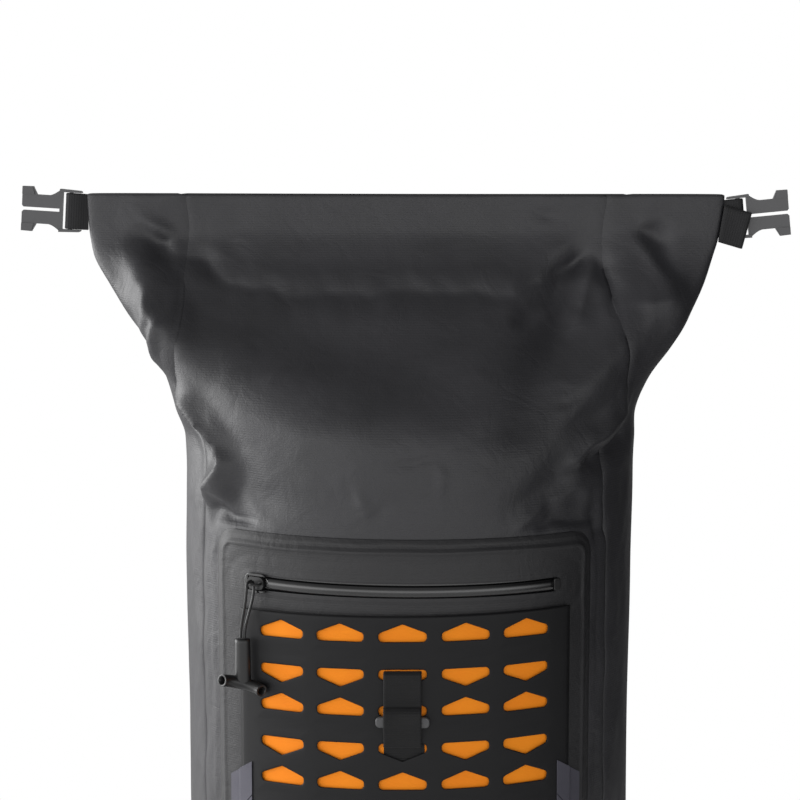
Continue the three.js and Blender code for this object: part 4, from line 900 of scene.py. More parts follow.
def makeSlotCell():
    half, low = lash["slotWidth"] / 2, -lash["bar"] / 2
    high = lash["slotHeight"] + lash["peakGap"] / 2
    radius = lash["endRadius"]
    slot = roundCorners([(-half, 0, radius), (half, 0, radius), (half, lash["shoulder"], radius - 0.2),
                         (0, lash["slotHeight"] + 0.35, lash["peakRadius"]),
                         (-half, lash["shoulder"], radius - 0.2)])
    middle = (low + high) / 2
    side = lash["spacing"] / 2
    centre = Vector((0, lash["slotHeight"] * 0.42))
    corners = {}
    for corner in ((-side, low), (side, low), (side, high), (-side, high)):
        want = Vector(corner) - centre
        best = min(range(len(slot)), key=lambda i: abs((Vector(slot[i]) - centre).angle_signed(want)))
        corners[best] = corner
    order = sorted(corners)
    frameRing = {}
    for a, b in zip(order, order[1:] + [order[0] + len(slot)]):
        p, q = Vector(corners[a % len(slot)]), Vector(corners[b % len(slot)])
        for k in range(a, b):
            frameRing[k % len(slot)] = p.lerp(q, (k - a) / (b - a))
    # rings of points from the slot's worn rim out to the cell's frame
    points, count = [], len(slot)
    for reach, drop in ((0, -0.3), (0.5, -0.06), (1.2, 0)):
        for i, p in enumerate(slot):
            before, after = Vector(slot[i - 1]), Vector(slot[(i + 1) % count])
            spot = Vector(p) + Vector((after.y - before.y, before.x - after.x)).normalized() * reach
            points.append((spot.x, spot.y - middle, drop))
    rim = points[-count:]
    for share in (0.45, 1):
        for i, p in enumerate(rim):
            goal = Vector((frameRing[i].x, frameRing[i].y - middle, 0))
            points.append(tuple(Vector(p).lerp(goal, share)))
    mesh = bpy.data.meshes.new("slotCell")
    mesh.from_pydata(points, [], [face[::-1] for face in tubeFaces(len(points) // count, count)[:-2]])
    return newObject("slotCell", mesh)


def nodesToMesh(carrier, tree, values):
    # runs a node tree on an object and gives the plain mesh that comes out
    modifier = carrier.modifiers.new("nodes", "NODES")
    modifier.node_group = tree
    for item in tree.interface.items_tree:
        if item.item_type == "SOCKET" and item.in_out == "INPUT" and item.name in values:
            modifier[item.identifier] = values[item.name]
    bpy.context.view_layer.update()
    graph = bpy.context.evaluated_depsgraph_get()
    made = bpy.data.meshes.new_from_object(carrier.evaluated_get(graph))
    carrier.modifiers.remove(modifier)
    return made


def treeWith(name, *inputs):
    tree = bpy.data.node_groups.new(name, "GeometryNodeTree")
    tree.interface.new_socket("Geometry", in_out="INPUT", socket_type="NodeSocketGeometry")
    for label, kind in inputs:
        tree.interface.new_socket(label, in_out="INPUT", socket_type=kind)
    tree.interface.new_socket("Geometry", in_out="OUTPUT", socket_type="NodeSocketGeometry")
    return tree, put(tree, "NodeGroupInput"), put(tree, "NodeGroupOutput")


def slotTree():
    tree, given, result = treeWith(
        "slotPanel", ("Cell", "NodeSocketObject"), ("Columns", "NodeSocketInt"), ("Rows", "NodeSocketInt"),
        ("Spacing", "NodeSocketFloat"), ("Step", "NodeSocketFloat"), ("Material", "NodeSocketMaterial"))
    columns, rows = given.outputs["Columns"], given.outputs["Rows"]
    wide = calc(tree, "MULTIPLY", calc(tree, "SUBTRACT", columns, 1.0), given.outputs["Spacing"])
    tall = calc(tree, "MULTIPLY", calc(tree, "SUBTRACT", rows, 1.0), given.outputs["Step"])
    grid = put(tree, "GeometryNodeMeshGrid",
               {"Size X": wide, "Size Y": tall, "Vertices X": columns, "Vertices Y": rows})
    # every other row is turned round
    row = calc(tree, "MODULO", put(tree, "GeometryNodeInputIndex").outputs[0], rows)
    spin = put(tree, "ShaderNodeCombineXYZ",
               {"Z": calc(tree, "MULTIPLY", calc(tree, "MODULO", row, 2.0), math.pi)})
    cell = put(tree, "GeometryNodeObjectInfo", {"Object": given.outputs["Cell"]})
    copies = put(tree, "GeometryNodeInstanceOnPoints", {"Points": grid.outputs["Mesh"],
                                                        "Instance": cell.outputs["Geometry"],
                                                        "Rotation": spin.outputs[0]})
    real = put(tree, "GeometryNodeRealizeInstances", {0: copies.outputs[0]})
    joined = put(tree, "GeometryNodeMergeByDistance", {"Geometry": real.outputs[0], "Distance": 0.02})
    final = put(tree, "GeometryNodeSetMaterial", {"Geometry": joined.outputs[0],
                                                  "Material": given.outputs["Material"]})
    tree.links.new(final.outputs[0], result.inputs[0])
    return tree


def makeLashPanel():
    cell = makeSlotCell()
    carrier = newObject("carrier", bpy.data.meshes.new("carrier"))
    flat = nodesToMesh(carrier, slotTree(), {
        "Cell": cell, "Columns": lash["columns"], "Rows": lash["rows"], "Spacing": lash["spacing"],
        "Step": lash["step"], "Material": lashSheet})
    bpy.data.objects.remove(cell)
    bpy.data.objects.remove(carrier)
    shape = bmesh.new()
    shape.from_mesh(flat)
    half, tall = lash["half"], lash["rows"] * lash["step"] / 2
    for axis, limit, reach, count in ((0, half, lash["side"], 4), (1, tall, lash["end"], 1)):
        for way in (-1, 1):
            for _ in range(count):
                edges = [e for e in shape.edges if e.is_boundary
                         and all(abs(v.co[axis] - way * limit) < 0.03 or abs(v.co[axis]) > limit
                                 for v in e.verts)]
                far = max(way * v.co[axis] for e in edges for v in e.verts)
                edges = [e for e in edges if all(way * v.co[axis] > far - 0.03 for v in e.verts)]
                grown = bmesh.ops.extrude_edge_only(shape, edges=edges)["geom"]
                for v in (g for g in grown if isinstance(g, bmesh.types.BMVert)):
                    v.co[axis] += way * reach / count
    bmesh.ops.recalc_face_normals(shape, faces=shape.faces)
    if sum(f.normal.z for f in shape.faces) < 0:
        bmesh.ops.reverse_faces(shape, faces=shape.faces)
    spots = np.array([v.co[:] for v in shape.verts])
    faces = [tuple(v.index for v in f.verts) for f in shape.faces]
    shape.free()
    middle = (lash["top"] + lash["bottom"]) / 2
    height = spots[:, 1] + middle
    edge = np.minimum(half + lash["side"] - np.abs(spots[:, 0]), tall + lash["end"] - np.abs(spots[:, 1]))
    lift = lashFace + spots[:, 2] - 0.35 * np.clip(1 - edge / 0.8, 0, 1)
    points = onLash(spots[:, 0], height, lift)
    piece = addPiece("lashPanel", points, faces, lashSheet, ["lash_panel"],
                     clothUv(spots[:, 0], height),
                     sharp=60)
    solid = piece.modifiers.new("thickness", "SOLIDIFY")
    solid.thickness = 1.15 * mm
    solid.offset = -1
    return piece


lashPanel = makeLashPanel()
print("lash panel made,", len(lashPanel.data.polygons), "faces")


def makeBand(name, s, z, lift, thick, material, nodes, surface=onCloth):
    outer = surface(s, z, lift + thick)
    inner = surface(s, z, lift)
    return sheetPiece(name, outer, inner, material, nodes, clothUv(s, z))


backingEnd = lash["backingInset"] - lash["end"]
backingS, backingZ = np.meshgrid(np.linspace(-lash["backingHalf"], lash["backingHalf"], 60),
                                 spread((lash["bottom"] + backingEnd, lash["top"] - backingEnd, 6)))
makeBand("orangeBacking", backingS, backingZ, pocketFace + layers["gap"], layers["backing"], orangeSheet,
         ["orange_backing"], onLash)

# Reflective tapes: slanted top, thin dark lines across them
tape = {"width": 20, "top": 322.5, "slant": 12, "inset": 9.2, "thick": 0.5, "lines": 23.5, "firstLine": 22,
        "lineSlant": 1.9, "gap": 0.7, "count": 9}


def tapeLine(offsets, k):
    # the slanted top of the tape, then the dark lines, which run down towards the outer side and back
    share = offsets / tape["width"]
    if k == 0:
        return tape["top"] - tape["slant"] * share
    drop = tape["firstLine"] + tape["lines"] * (k - 1)
    return tape["top"] - drop - tape["lineSlant"] * tape["slant"] * (share if k % 2 else 1 - share)


def makeTape(side):
    # the lengths of tape between the dark lines, from the top down
    start = lash["half"] + lash["side"] - tape["inset"]
    offsets = spread((0, 9.1, 1.5), (9.1, 9.6, 0.25), (9.6, 12.6, 0.5), (12.6, tape["width"], 1.4))
    face = pocketFace + layers["gap"] + (lashFace - 0.1 - pocketFace) * (1 - smooth(offsets, 9.3, 12.3))
    shares = np.linspace(0, 1, 7)[:, None]
    pieces = []
    for k in range(tape["count"]):
        high = tapeLine(offsets, k) - (tape["gap"] / 2 if k else 0)
        low = tapeLine(offsets, k + 1) + tape["gap"] / 2 if k < tape["count"] - 1 else np.zeros(offsets.shape)
        low = np.maximum(low, lash["bottom"])
        z = low[None, :] * (1 - shares) + np.maximum(high, low + 0.3)[None, :] * shares
        s, lift = np.repeat((start + offsets)[None, :], 7, 0), np.repeat(face[None, :], 7, 0)
        if side < 0:
            s, z, lift = -s[:, ::-1], z[:, ::-1], lift[:, ::-1]
        pieces.append((onLash(s, z, lift + tape["thick"]), onLash(s, z, lift), clothUv(s, z)))
    return pieces


def joinPieces(name, made, nodes):
    bpy.ops.object.select_all(action="DESELECT")
    for piece in made:
        piece.select_set(True)
    bpy.context.view_layer.objects.active = made[0]
    bpy.ops.object.join()
    joined = bpy.context.view_layer.objects.active
    joined.name = joined.data.name = name
    return declare(joined, nodes)


for side, label in ((-1, "Left"), (1, "Right")):
    parts = [sheetPiece(f"tapePart{i}", outer, inner, reflectiveTape, (), uv)
             for i, (outer, inner, uv) in enumerate(makeTape(side))]
    joinPieces("reflective" + label, parts, ["reflective_" + label.lower()])
print("tapes made")

# Zip: coated bead on its tape
zipTapeS, zipTapeZ = np.meshgrid(spread((zipLook["left"] - 6, zipLook["right"] + 6, 3)),
                                 spread((zipLook["z"] - 12, zipLook["z"] + 12, 2)))
makeBand("zipTape", zipTapeS, zipTapeZ, layers["gap"], zipLook["tapeFace"] - layers["gap"], zipRubber,
         ["zip_tape"])
beadShape = {"half": 3.9, "rise": 3.3, "sag": 0.7, "fromLeft": 12.6, "fromRight": 5.6, "base": 1.5}


def makeBead():
    places = spread((zipLook["left"] + beadShape["fromLeft"], zipLook["right"] - beadShape["fromRight"], 2.5))
    middle = (places[0] + places[-1]) / 2
    s, turns = np.meshgrid(places, np.linspace(-1, 1, 15) * math.pi / 2)
    z = zipLook["z"] + beadShape["half"] * np.sin(turns)
    z = z - beadShape["sag"] * (1 - ((s - middle) / (places[-1] - middle)) ** 2)
    lift = beadShape["base"] + beadShape["rise"] * np.cos(turns) ** 0.8
    outer, inner = onCloth(s, z, lift + 0.02), onCloth(s, z, beadShape["base"] - 0.15)
    sheetPiece("zipBead", outer, inner, zipRubber, ["zip_bead"], clothUv(s, z), sharp=60)


makeBead()
print("zip made")

# Rigid pieces: the solid's own shape with its edges rounded
rounding = [
    (0.5, blackPlastic, "zip_black", ["zip_stop"]), (0.45, zipRubber, "zip_black", ["zip_garage"]),
    (0.45, blackPlastic, "zip_black", ["zip_slider"]), (0.8, clipPlastic, "clip_plastic", ["keeper_bar"]),
    (0.7, clipPlastic, "clip_plastic", ["clip_left", "clip_right", "socket_left", "socket_right"]),
    (0.8, clipPlastic, "clip_plastic", ["ladder_lock_left", "ladder_lock_right"]),
]


def makeRigid(name, radius, material):
    shape = bmesh.new()
    shape.from_mesh(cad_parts[name].data)
    bmesh.ops.transform(shape, matrix=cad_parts[name].matrix_world, verts=shape.verts)
    bmesh.ops.remove_doubles(shape, verts=shape.verts, dist=0.00001)
    bmesh.ops.dissolve_limit(shape, angle_limit=math.radians(1.5), verts=shape.verts, edges=shape.edges)
    points = [tuple(v.co) for v in shape.verts]
    faces = [tuple(v.index for v in f.verts) for f in shape.faces]
    shape.free()
    label = "".join(word.capitalize() if i else word for i, word in enumerate(name.split("_")))
    piece = addPiece(label, points, faces, material, [name], sharp=38)
    bevel = piece.modifiers.new("rounding", "BEVEL")
    bevel.width = radius * mm
    bevel.segments = 3
    bevel.limit_method = "ANGLE"
    bevel.angle_limit = math.radians(32)
    bevel.use_clamp_overlap = True


for radius, material, slot, names in rounding:
    for name in names:
        makeRigid(name, radius, material)
print("rigid pieces made")

# Webbing: a strap along a path, thicker at its woven edges, with its own (across, along) map
strapLook = {"width": 24, "thick": 1.6, "pitch": 3.1, "stitch": 2.232, "thread": 0.34, "inset": 2.2}
strapSection = [(-1, 0), (-0.985, 0.6), (-0.93, 1), (-0.86, 0.93), (-0.5, 0.9), (0, 0.92), (0.5, 0.9),
                (0.86, 0.93),
                (0.93, 1), (0.985, 0.6)]


def ribbon(name, path, across, thick, material, nodes=()):
    # a strap along a path, and its (middle, side, out, way, length so far) at each step
    section = strapSection + [(1, 0)] + [(x, -y) for x, y in reversed(strapSection[1:])]
    points, uv, frames, gone = [], [], [], 0.0
    for i, middle in enumerate(path):
        before = path[max(i - 1, 0)]
        ahead = path[min(i + 1, len(path) - 1)] - before
        side = Vector(across[i] if isinstance(across, list) else across).normalized()
        out = ahead.cross(side).normalized()
        gone += (middle - before).length
        frames.append((middle, side, out, ahead.normalized(), gone))
        for x, y in section:
            points.append(middle + side * (x * strapLook["width"] / 2 * mm) + out * (y * thick / 2 * mm))
            uv.append((x * strapLook["width"] / 2 * mm, gone))
    shape = bmesh.new()
    made = [shape.verts.new(p) for p in points]
    for face in tubeFaces(len(path), len(section)):
        shape.faces.new([made[i] for i in face])
    bmesh.ops.recalc_face_normals(shape, faces=shape.faces)
    shape.verts.index_update()
    faces = [tuple(v.index for v in face.verts) for face in shape.faces]
    shape.free()
    addPiece(name, points, faces, material, nodes, uv, sharp=50)
    return frames


def stitchTree():
    # a short bowed thread on each point, turned to the point's own way and out
    tree, given, result = treeWith("stitchRow", ("Length", "NodeSocketFloat"), ("Radius", "NodeSocketFloat"),
                                   ("Material", "NodeSocketMaterial"))
    length, radius = given.outputs["Length"], given.outputs["Radius"]
    start, end = (put(tree, "ShaderNodeCombineXYZ", {"X": calc(tree, "MULTIPLY", length, half)}).outputs[0]
                  for half in (-0.5, 0.5))
    line = put(tree, "GeometryNodeCurvePrimitiveLine", {"Start": start, "End": end}, mode="POINTS")
    cut = put(tree, "GeometryNodeResampleCurve", {"Curve": line.outputs[0], "Count": 5})
    share = put(tree, "GeometryNodeSplineParameter").outputs["Factor"]
    rise = calc(tree, "MULTIPLY", calc(tree, "SINE", calc(tree, "MULTIPLY", share, math.pi)), radius)
    offset = put(tree, "ShaderNodeCombineXYZ", {"Z": rise}).outputs[0]
    lifted = put(tree, "GeometryNodeSetPosition", {"Geometry": cut.outputs[0], "Offset": offset})
    circle = put(tree, "GeometryNodeCurvePrimitiveCircle", {"Resolution": 6, "Radius": radius})
    body = put(tree, "GeometryNodeCurveToMesh",
               {"Curve": lifted.outputs[0], "Profile Curve": circle.outputs[0],
                                                 "Fill Caps": True})
    way, out = (put(tree, "GeometryNodeInputNamedAttribute", {"Name": key}, data_type="FLOAT_VECTOR")
                for key in ("way", "out"))
    turn = put(tree, "FunctionNodeAxesToRotation", {"Primary Axis": out.outputs["Attribute"],
                                                    "Secondary Axis": way.outputs["Attribute"]},
               primary_axis="Z", secondary_axis="X")
    copies = put(tree, "GeometryNodeInstanceOnPoints",
                 {"Points": given.outputs[0], "Instance": body.outputs[0],
                                                        "Rotation": turn.outputs[0]})
    real = put(tree, "GeometryNodeRealizeInstances", {0: copies.outputs[0]})
    final = put(tree, "GeometryNodeSetMaterial",
                {"Geometry": real.outputs[0], "Material": given.outputs["Material"]})
    tree.links.new(final.outputs[0], result.inputs[0])
    return tree


def stitches(name, rows):
    # rows of (point, way, out) in metres, one short thread at each
    spots = [one for row in rows for one in row]
    mesh = bpy.data.meshes.new(name + "Carrier")
    mesh.from_pydata([tuple(one[0]) for one in spots], [], [])
    for key, index in (("way", 1), ("out", 2)):
        layer = mesh.attributes.new(key, "FLOAT_VECTOR", "POINT")
        layer.data.foreach_set("vector", np.array([tuple(one[index]) for one in spots], np.float32).ravel())
    carrier = newObject(name + "Carrier", mesh)
    made = nodesToMesh(carrier, stitchTree(),
                       {"Length": strapLook["stitch"] * mm, "Radius": strapLook["thread"] * mm,
                                               "Material": thread})
    bpy.data.objects.remove(carrier)
    made.name = name
    made.shade_smooth()
    declare(newObject(name, made))


def between(corners):
    # the middle of each stitch along lines from corner to corner, and the line's way
    for start, end in zip(corners, corners[1:]):
        count = max(1, round(math.dist(start, end) / strapLook["pitch"]))
        dx, dy = end[0] - start[0], end[1] - start[1]
        for i in range(count):
            t = (i + 0.5) / count
            yield start[0] + dx * t, start[1] + dy * t, dx, dy


def sewn(frames, runs, side=1):
    # stitches along runs of (across, along) corners on one face of a strap
    row = []
    for x, y, dx, dy in (spot for run in runs for spot in between(run)):
        k = int(np.searchsorted([f[4] for f in frames], y * mm))
        k = min(max(k, 1), len(frames) - 1)
        a, b = frames[k - 1], frames[k]
        t = (y * mm - a[4]) / max(b[4] - a[4], 1e-9)
        lift = side * (strapLook["thick"] / 2 + 0.02)
        row.append((a[0].lerp(b[0], t) + a[1] * x * mm + a[2] * lift * mm, a[1] * dx + a[3] * dy,
                    a[2] * side))
    return [row]


def boxStitch(frames, start, end, side=1):
    # a sewn box with a cross in it, between two lengths along the strap
    half = strapLook["width"] / 2 - strapLook["inset"]
    box = [(-half, start), (half, start), (half, end), (-half, end), (-half, start)]
    return sewn(frames, [box, [box[0], box[2]], [box[1], box[3]]], side)


def smoothPath(points, step=1.2):
    total = sum((Vector(a) - Vector(b)).length for a, b in zip(points, points[1:])) / mm
    return smoothLine(points, max(6, int(total / step)))


# Gear loop: webbing through the middle column, over its bar
keeperPath = [(0.815, -1.2), (0.832, 0.6), (0.871, 1.7), (1.021, 2.3), (1.3, 2.7), (1.477, 2.4), (1.66, 1.5),
              (1.74, 1.6), (1.79, 3.2), (1.9, 4.9), (2.06, 5.5), (2.286, 5.1), (2.46, 3.2), (2.6, 1.8),
              (2.7, 1.4),
              (2.79, 1.0), (2.825, 0), (2.84, -1.2)]


def makeKeeper():
    heights = [(lash["first"] - down * lash["step"], off) for down, off in keeperPath]
    path = smoothPath([onLash(0, z, lashFace + off) for z, off in heights], 0.9)
    across = Vector(onLash(1, 390, lashFace)) - Vector(onLash(-1, 390, lashFace))
    frames = ribbon("keeperStrap", path, across, 1.5, loopWebbing, ["keeper_strap"])
    # its run behind the panel, seen through the lower slot
    s, z = np.meshgrid(np.linspace(-11.6, 13.4, 12), np.linspace(lash["first"] - 3.42 * lash["step"],
                                                                 lash["first"] - 2.7 * lash["step"], 10))
    makeBand("keeperTail", s, z, pocketFace + 1.25, 0.28, loopWebbing, (), onLash)
    half = strapLook["width"] / 2 - strapLook["inset"]
    return sewn(frames, [[(half, 16.2), (half, 17.6)]], -1)


keeperRows = makeKeeper()

# Tabs of webbing at the ends of the mouth, through the clips
clipSpots = {"left": (-1, 11.9, 669, 3.5), "right": (1, 11, 666, 5.7)}  # side, reach, height and tilt
tabOff = 1.5 + layers["gap"] + 0.8  # from the clip's bar to the middle of the webbing round it


def mouthEnd(side, z):
    return float(onCloth(side * tipAt(z), z)[0]) / mm


def makeTab(label):
    side, reach, height, tilt = clipSpots[label]
    turn = Matrix.Rotation(math.radians(-tilt), 3, "Y")
    middle = Vector((mouthEnd(side, height) + side * reach, 0, height))

    def place(p):
        local = turn @ Vector(p)
        return (middle + Vector((local.x * side, local.y, local.z))) * mm

    bend = [(tabOff * math.cos(math.radians(d)), tabOff * math.sin(math.radians(d)), 0)
            for d in range(90, -91, -15)]
    flat = [(0.3 - reach, 0.9, 0), (1.4 - reach, 1.0, 0), (3.6 - reach, 1.9, 0),
            (0.3 - reach * 0.45, tabOff, 0)]
    local = flat + bend + [(x, -y, z) for x, y, z in reversed(flat)]
    upright = (place((0, 0, 1)) - place((0, 0, 0))).normalized()
    slant = side * (mouthEnd(side, height + 12) - mouthEnd(side, height - 12))
    across = []
    for x, _, _ in local:
        share = min(1, max(0, (x + reach - 0.3) / 4))
        edge = place((slant * (1 - share), 0, 24)) - place((0, 0, 0))
        across.append(edge.normalized().lerp(upright, share))
    ribbon("tab" + label.capitalize(), [place(p) for p in local], across, strapLook["thick"], webbing,
           ["tab_" + label])


for label in clipSpots:
    makeTab(label)


def makeTabFold():
    # the right tab's webbing has slipped down its bar and hangs over it
    _, reach, height, _ = clipSpots["right"]
    turn = math.radians(14.4)
    down, half = Vector((-math.sin(turn), -math.cos(turn))), strapLook["width"] / 2
    end = Vector((mouthEnd(1, height) + reach + 4.5, height - 9))
    lower, upper = end + down * half, end - down * half
    first = Vector((mouthEnd(1, lower.y + 4.5) + 0.3, lower.y + 4.5))
    last = Vector((mouthEnd(1, upper.y + 5) + 0.3, upper.y + 5))
    a, b = np.meshgrid(np.linspace(0, 1, 21), np.linspace(0, 1, 21))
    x = (first.x * (1 - a) + lower.x * a) * (1 - b) + (last.x * (1 - a) + upper.x * a) * b
    z = (first.y * (1 - a) + lower.y * a) * (1 - b) + (last.y * (1 - a) + upper.y * a) * b
    off = tabOff + 0.8 + layers["gap"] + strapLook["thick"]
    y = -off + 0.5 * np.sin(a * 3.1 + b * 1.4) - 0.5 * (1 - a) * (1 - b)
    thick = 1.35 * np.minimum(1, 0.45 + 6 * np.minimum(np.minimum(a, 1 - a), np.minimum(b, 1 - b)))
    across = (x - first.x) * down.x + (z - first.y) * down.y
    along = (first.x - x) * down.y + (z - first.y) * down.x
    sheetPiece("tabFoldRight", np.stack([x, y - thick, z], -1) * mm, np.stack([x, y + thick, z], -1) * mm,
               webbing,
               ["tab_fold_right"], clothUv(across, along), sharp=50)


makeTabFold()

# Side straps and their sockets
sideStrap = {"top": 244, "length": 142, "patch": 26}


def makeSideStrap(side, label):
    top, patch, length = sideStrap["top"], sideStrap["patch"], sideStrap["length"]
    path = []
    for z in np.linspace(top, top - length, 60):
        free = max(0, top - patch - z) / (length - patch)
        path.append(Vector(onCloth(side * tipAt(z), z, 1.25 + 1.6 * math.sin(math.pi * free) ** 2)))
    frames = ribbon("sideStrap" + label, path, (0, 1, 0), strapLook["thick"], webbing,
                    ["side_strap_" + label.lower()])
    return boxStitch(frames, 2.5, patch - 3, 1 if frames[5][2].x * side > 0 else -1)


sideRows = [row for side, label in ((-1, "Left"), (1, "Right")) for row in makeSideStrap(side, label)]

# Back: yoke, pads, haul loop and lower webbing
back = {"padWidth": 210, "padTop": 451.7, "padBottom": 120, "padThick": 12, "padCorner": 24, "gap": 0.8,
        "yokeWidth": 188, "yokeHeight": 44, "yokeSheet": 2, "strapWidth": 62, "strapThick": 11, "bow": 74,
        "drop": 10,
        "fall": 296, "haul": 96, "haulRise": 30, "foot": 44, "footSide": 96, "footSewn": 24, "lockLength": 26}
yokeMiddle = back["padTop"] + 0.3 + back["yokeHeight"] / 2
strapRun = [(0, 0.381, 0), (0.0676, 0.419, 0.24), (0.1824, 0.514, 0.68), (0.3514, 0.629, 0.96),
            (0.5372, 0.743, 1),
            (0.723, 0.838, 0.86), (0.8919, 0.914, 0.6), (1, 0.952, 0.4)]


def makeYoke():
    half, tall = back["yokeWidth"] / 2, back["yokeHeight"] / 2
    side, z = np.meshgrid(np.linspace(half, -half, 90), np.linspace(yokeMiddle - tall, yokeMiddle + tall, 24))
    edge = np.minimum(half - np.abs(side), tall - np.abs(z - yokeMiddle))
    face = back["gap"] + back["yokeSheet"]
    lift = face - 0.9 * np.clip(1 - edge / 1.6, 0, 1) ** 2 - 0.35 * np.exp(-((edge - 4) / 0.9) ** 2)
    sheetPiece("yoke", onBack(side, z, lift), onBack(side, z, back["gap"]), webbing,
               ["yoke"],
               clothUv(side, z), sharp=60)
    x, low, high = half - 4, yokeMiddle - tall + 4, yokeMiddle + tall - 4
    row = []
    for x, y, dx, dy in between([(-x, low), (x, low), (x, high), (-x, high), (-x, low)]):
        spot = Vector(onBack(x, y, face - 0.25))
        way = Vector(onBack(x + dx * 0.001, y + dy * 0.001, face - 0.25)) - spot
        row.append((spot, way, Vector(onBack(x, y, 9)) - spot))
    return [row]


yokeRows = makeYoke()


def strapSpot(side, down, across, bow):
    z = yokeMiddle - back["drop"] - down * back["fall"]
    lift = back["gap"] + back["yokeSheet"] + layers["gap"] + back["strapThick"] / 2 + bow * back["bow"]
    return Vector(onBack(side * across * back["padWidth"] / 2, z, lift))


def makeHaul():
    z = yokeMiddle + back["yokeHeight"] / 2 - strapLook["width"] / 2
    lift = back["gap"] + back["yokeSheet"] + layers["gap"] + strapLook["thick"] / 2
    path = [Vector(onBack(share * back["haul"] / 2, z + back["haulRise"] * 0.5 * (1 - share ** 2),
                          lift + back["haulRise"] * (1 - share ** 4))) for share in np.linspace(-1, 1, 61)]
    ribbon("haulLoop", path, (0, 0, 1), strapLook["thick"], webbing, ["haul_loop"])


makeHaul()


def makeLowerWebbing(side, label):
    # from the ladder lock, with a slight sag, to its sewn foot
    before, last = (strapSpot(side, *row) for row in strapRun[-2:])
    start = last + (last - before).normalized() * (back["lockLength"] + 0.3) * mm
    place, lift = side * back["footSide"], back["gap"] + strapLook["thick"] / 2
    top, foot = (Vector(onBack(place, z, lift)) for z in (back["foot"] + back["footSewn"], back["foot"]))
    flat = (Vector(onBack(place + 1, back["foot"], lift)) - foot).normalized()
    path = []
    for t in np.linspace(0, 1, 24):
        path.append(start.lerp(top, t) + Vector((0, 0.003, -0.002)) * math.sin(math.pi * t))
    path += [top.lerp(foot, t) for t in np.linspace(0, 1, 9)[1:]]
    across = [Vector((1, 0, 0)).lerp(flat, min(1, i / 23)) for i in range(len(path))]
    frames = ribbon("lowerWebbing" + label, path, across, strapLook["thick"], webbing,
                    ["lower_webbing_" + label.lower()])
    total = frames[-1][4] / mm
    return boxStitch(frames, total - back["footSewn"] + 3, total - 3, 1 if frames[-2][2].y > 0 else -1)


lowerRows = [row for side, label in ((-1, "Left"), (1, "Right")) for row in makeLowerWebbing(side, label)]
stitches("webbingStitches", sideRows + lowerRows + yokeRows + keeperRows)
print("webbing made")


def inflate(piece, cap, voxel, pressure=4.0):
    # swells a padded shape as cloth, with a limit on how far a point may move
    bpy.ops.object.select_all(action="DESELECT")
    piece.select_set(True)
    bpy.context.view_layer.objects.active = piece

    def apply(name, kind, **settings):
        modifier = piece.modifiers.new(name, kind)
        for key, value in settings.items():
            setattr(modifier, key, value)
        bpy.ops.object.modifier_apply(modifier=modifier.name)

    apply("remesh", "REMESH", mode="VOXEL", voxel_size=voxel * mm)
    start = np.empty(len(piece.data.vertices) * 3)
    piece.data.vertices.foreach_get("co", start)
    cloth = piece.modifiers.new("cloth", "CLOTH")
    settings = cloth.settings
    settings.use_pressure = True
    settings.uniform_pressure_force = pressure
    settings.effector_weights.gravity = 0
    settings.quality = 6
    settings.tension_stiffness = settings.compression_stiffness = 18
    settings.bending_stiffness = 2
    for number in range(1, 21):
        bpy.context.scene.frame_set(number)
    swollen = np.empty(len(start))
    piece.evaluated_get(bpy.context.evaluated_depsgraph_get()).data.vertices.foreach_get("co", swollen)
    piece.modifiers.remove(cloth)
    bpy.context.scene.frame_set(1)
    move = (swollen - start).reshape(-1, 3)
    size = np.linalg.norm(move, axis=1, keepdims=True)
    move = move * np.minimum(1, cap * mm / np.maximum(size, 1e-9))
    piece.data.vertices.foreach_set("co", (start.reshape(-1, 3) + move).ravel())
    apply("even", "SMOOTH", factor=0.5, iterations=8)
    apply("finer", "SUBSURF", levels=1, render_levels=1)
    piece.data.shade_smooth()


def makeShoulder(side, label):
    rows = smoothPath([strapSpot(side, *row) for row in strapRun], 5)
    width, thick = (back["strapWidth"] - 3) * mm, (back["strapThick"] - 4) * mm
    corner = [(0.5, 0), (0.47, -0.36), (0.4, -0.5)]
    upper = [(-x, -y) for x, y in corner] + [(-0.2, 0.5), (0, 0.5), (0.2, 0.5), (0.4, 0.5), (0.47, 0.36)]
    section = upper + corner + [(0.2, -0.5), (0, -0.5), (-0.2, -0.5), (-0.4, -0.5), (-0.47, -0.36)]
    points = []
    for i, middle in enumerate(rows):
        ahead = rows[min(i + 1, len(rows) - 1)] - rows[max(i - 1, 0)]
        out = ahead.cross(Vector((1, 0, 0))).normalized()
        share = i / (len(rows) - 1)
        narrow = 1 - 0.34 * smooth(share, 0.86, 1) - 0.06 * (1 - smooth(share, 0, 0.08))
        points += [middle + Vector((x * width * narrow, 0, 0)) + out * (y * thick) for x, y in section]
    piece = addPiece("shoulderStrap" + label, points, tubeFaces(len(rows), len(section)), spacerMesh,
                     ["shoulder_strap_" + label.lower()])
    shape = bmesh.new()
    shape.from_mesh(piece.data)
    bmesh.ops.recalc_face_normals(shape, faces=shape.faces)
    shape.to_mesh(piece.data)
    shape.free()
    inflate(piece, 2.6, 4.0)


channels = {"side": 34, "bow": 10, "middle": 286, "apart": 80, "wide": 4.5, "deep": 4.2}  # of the back pad


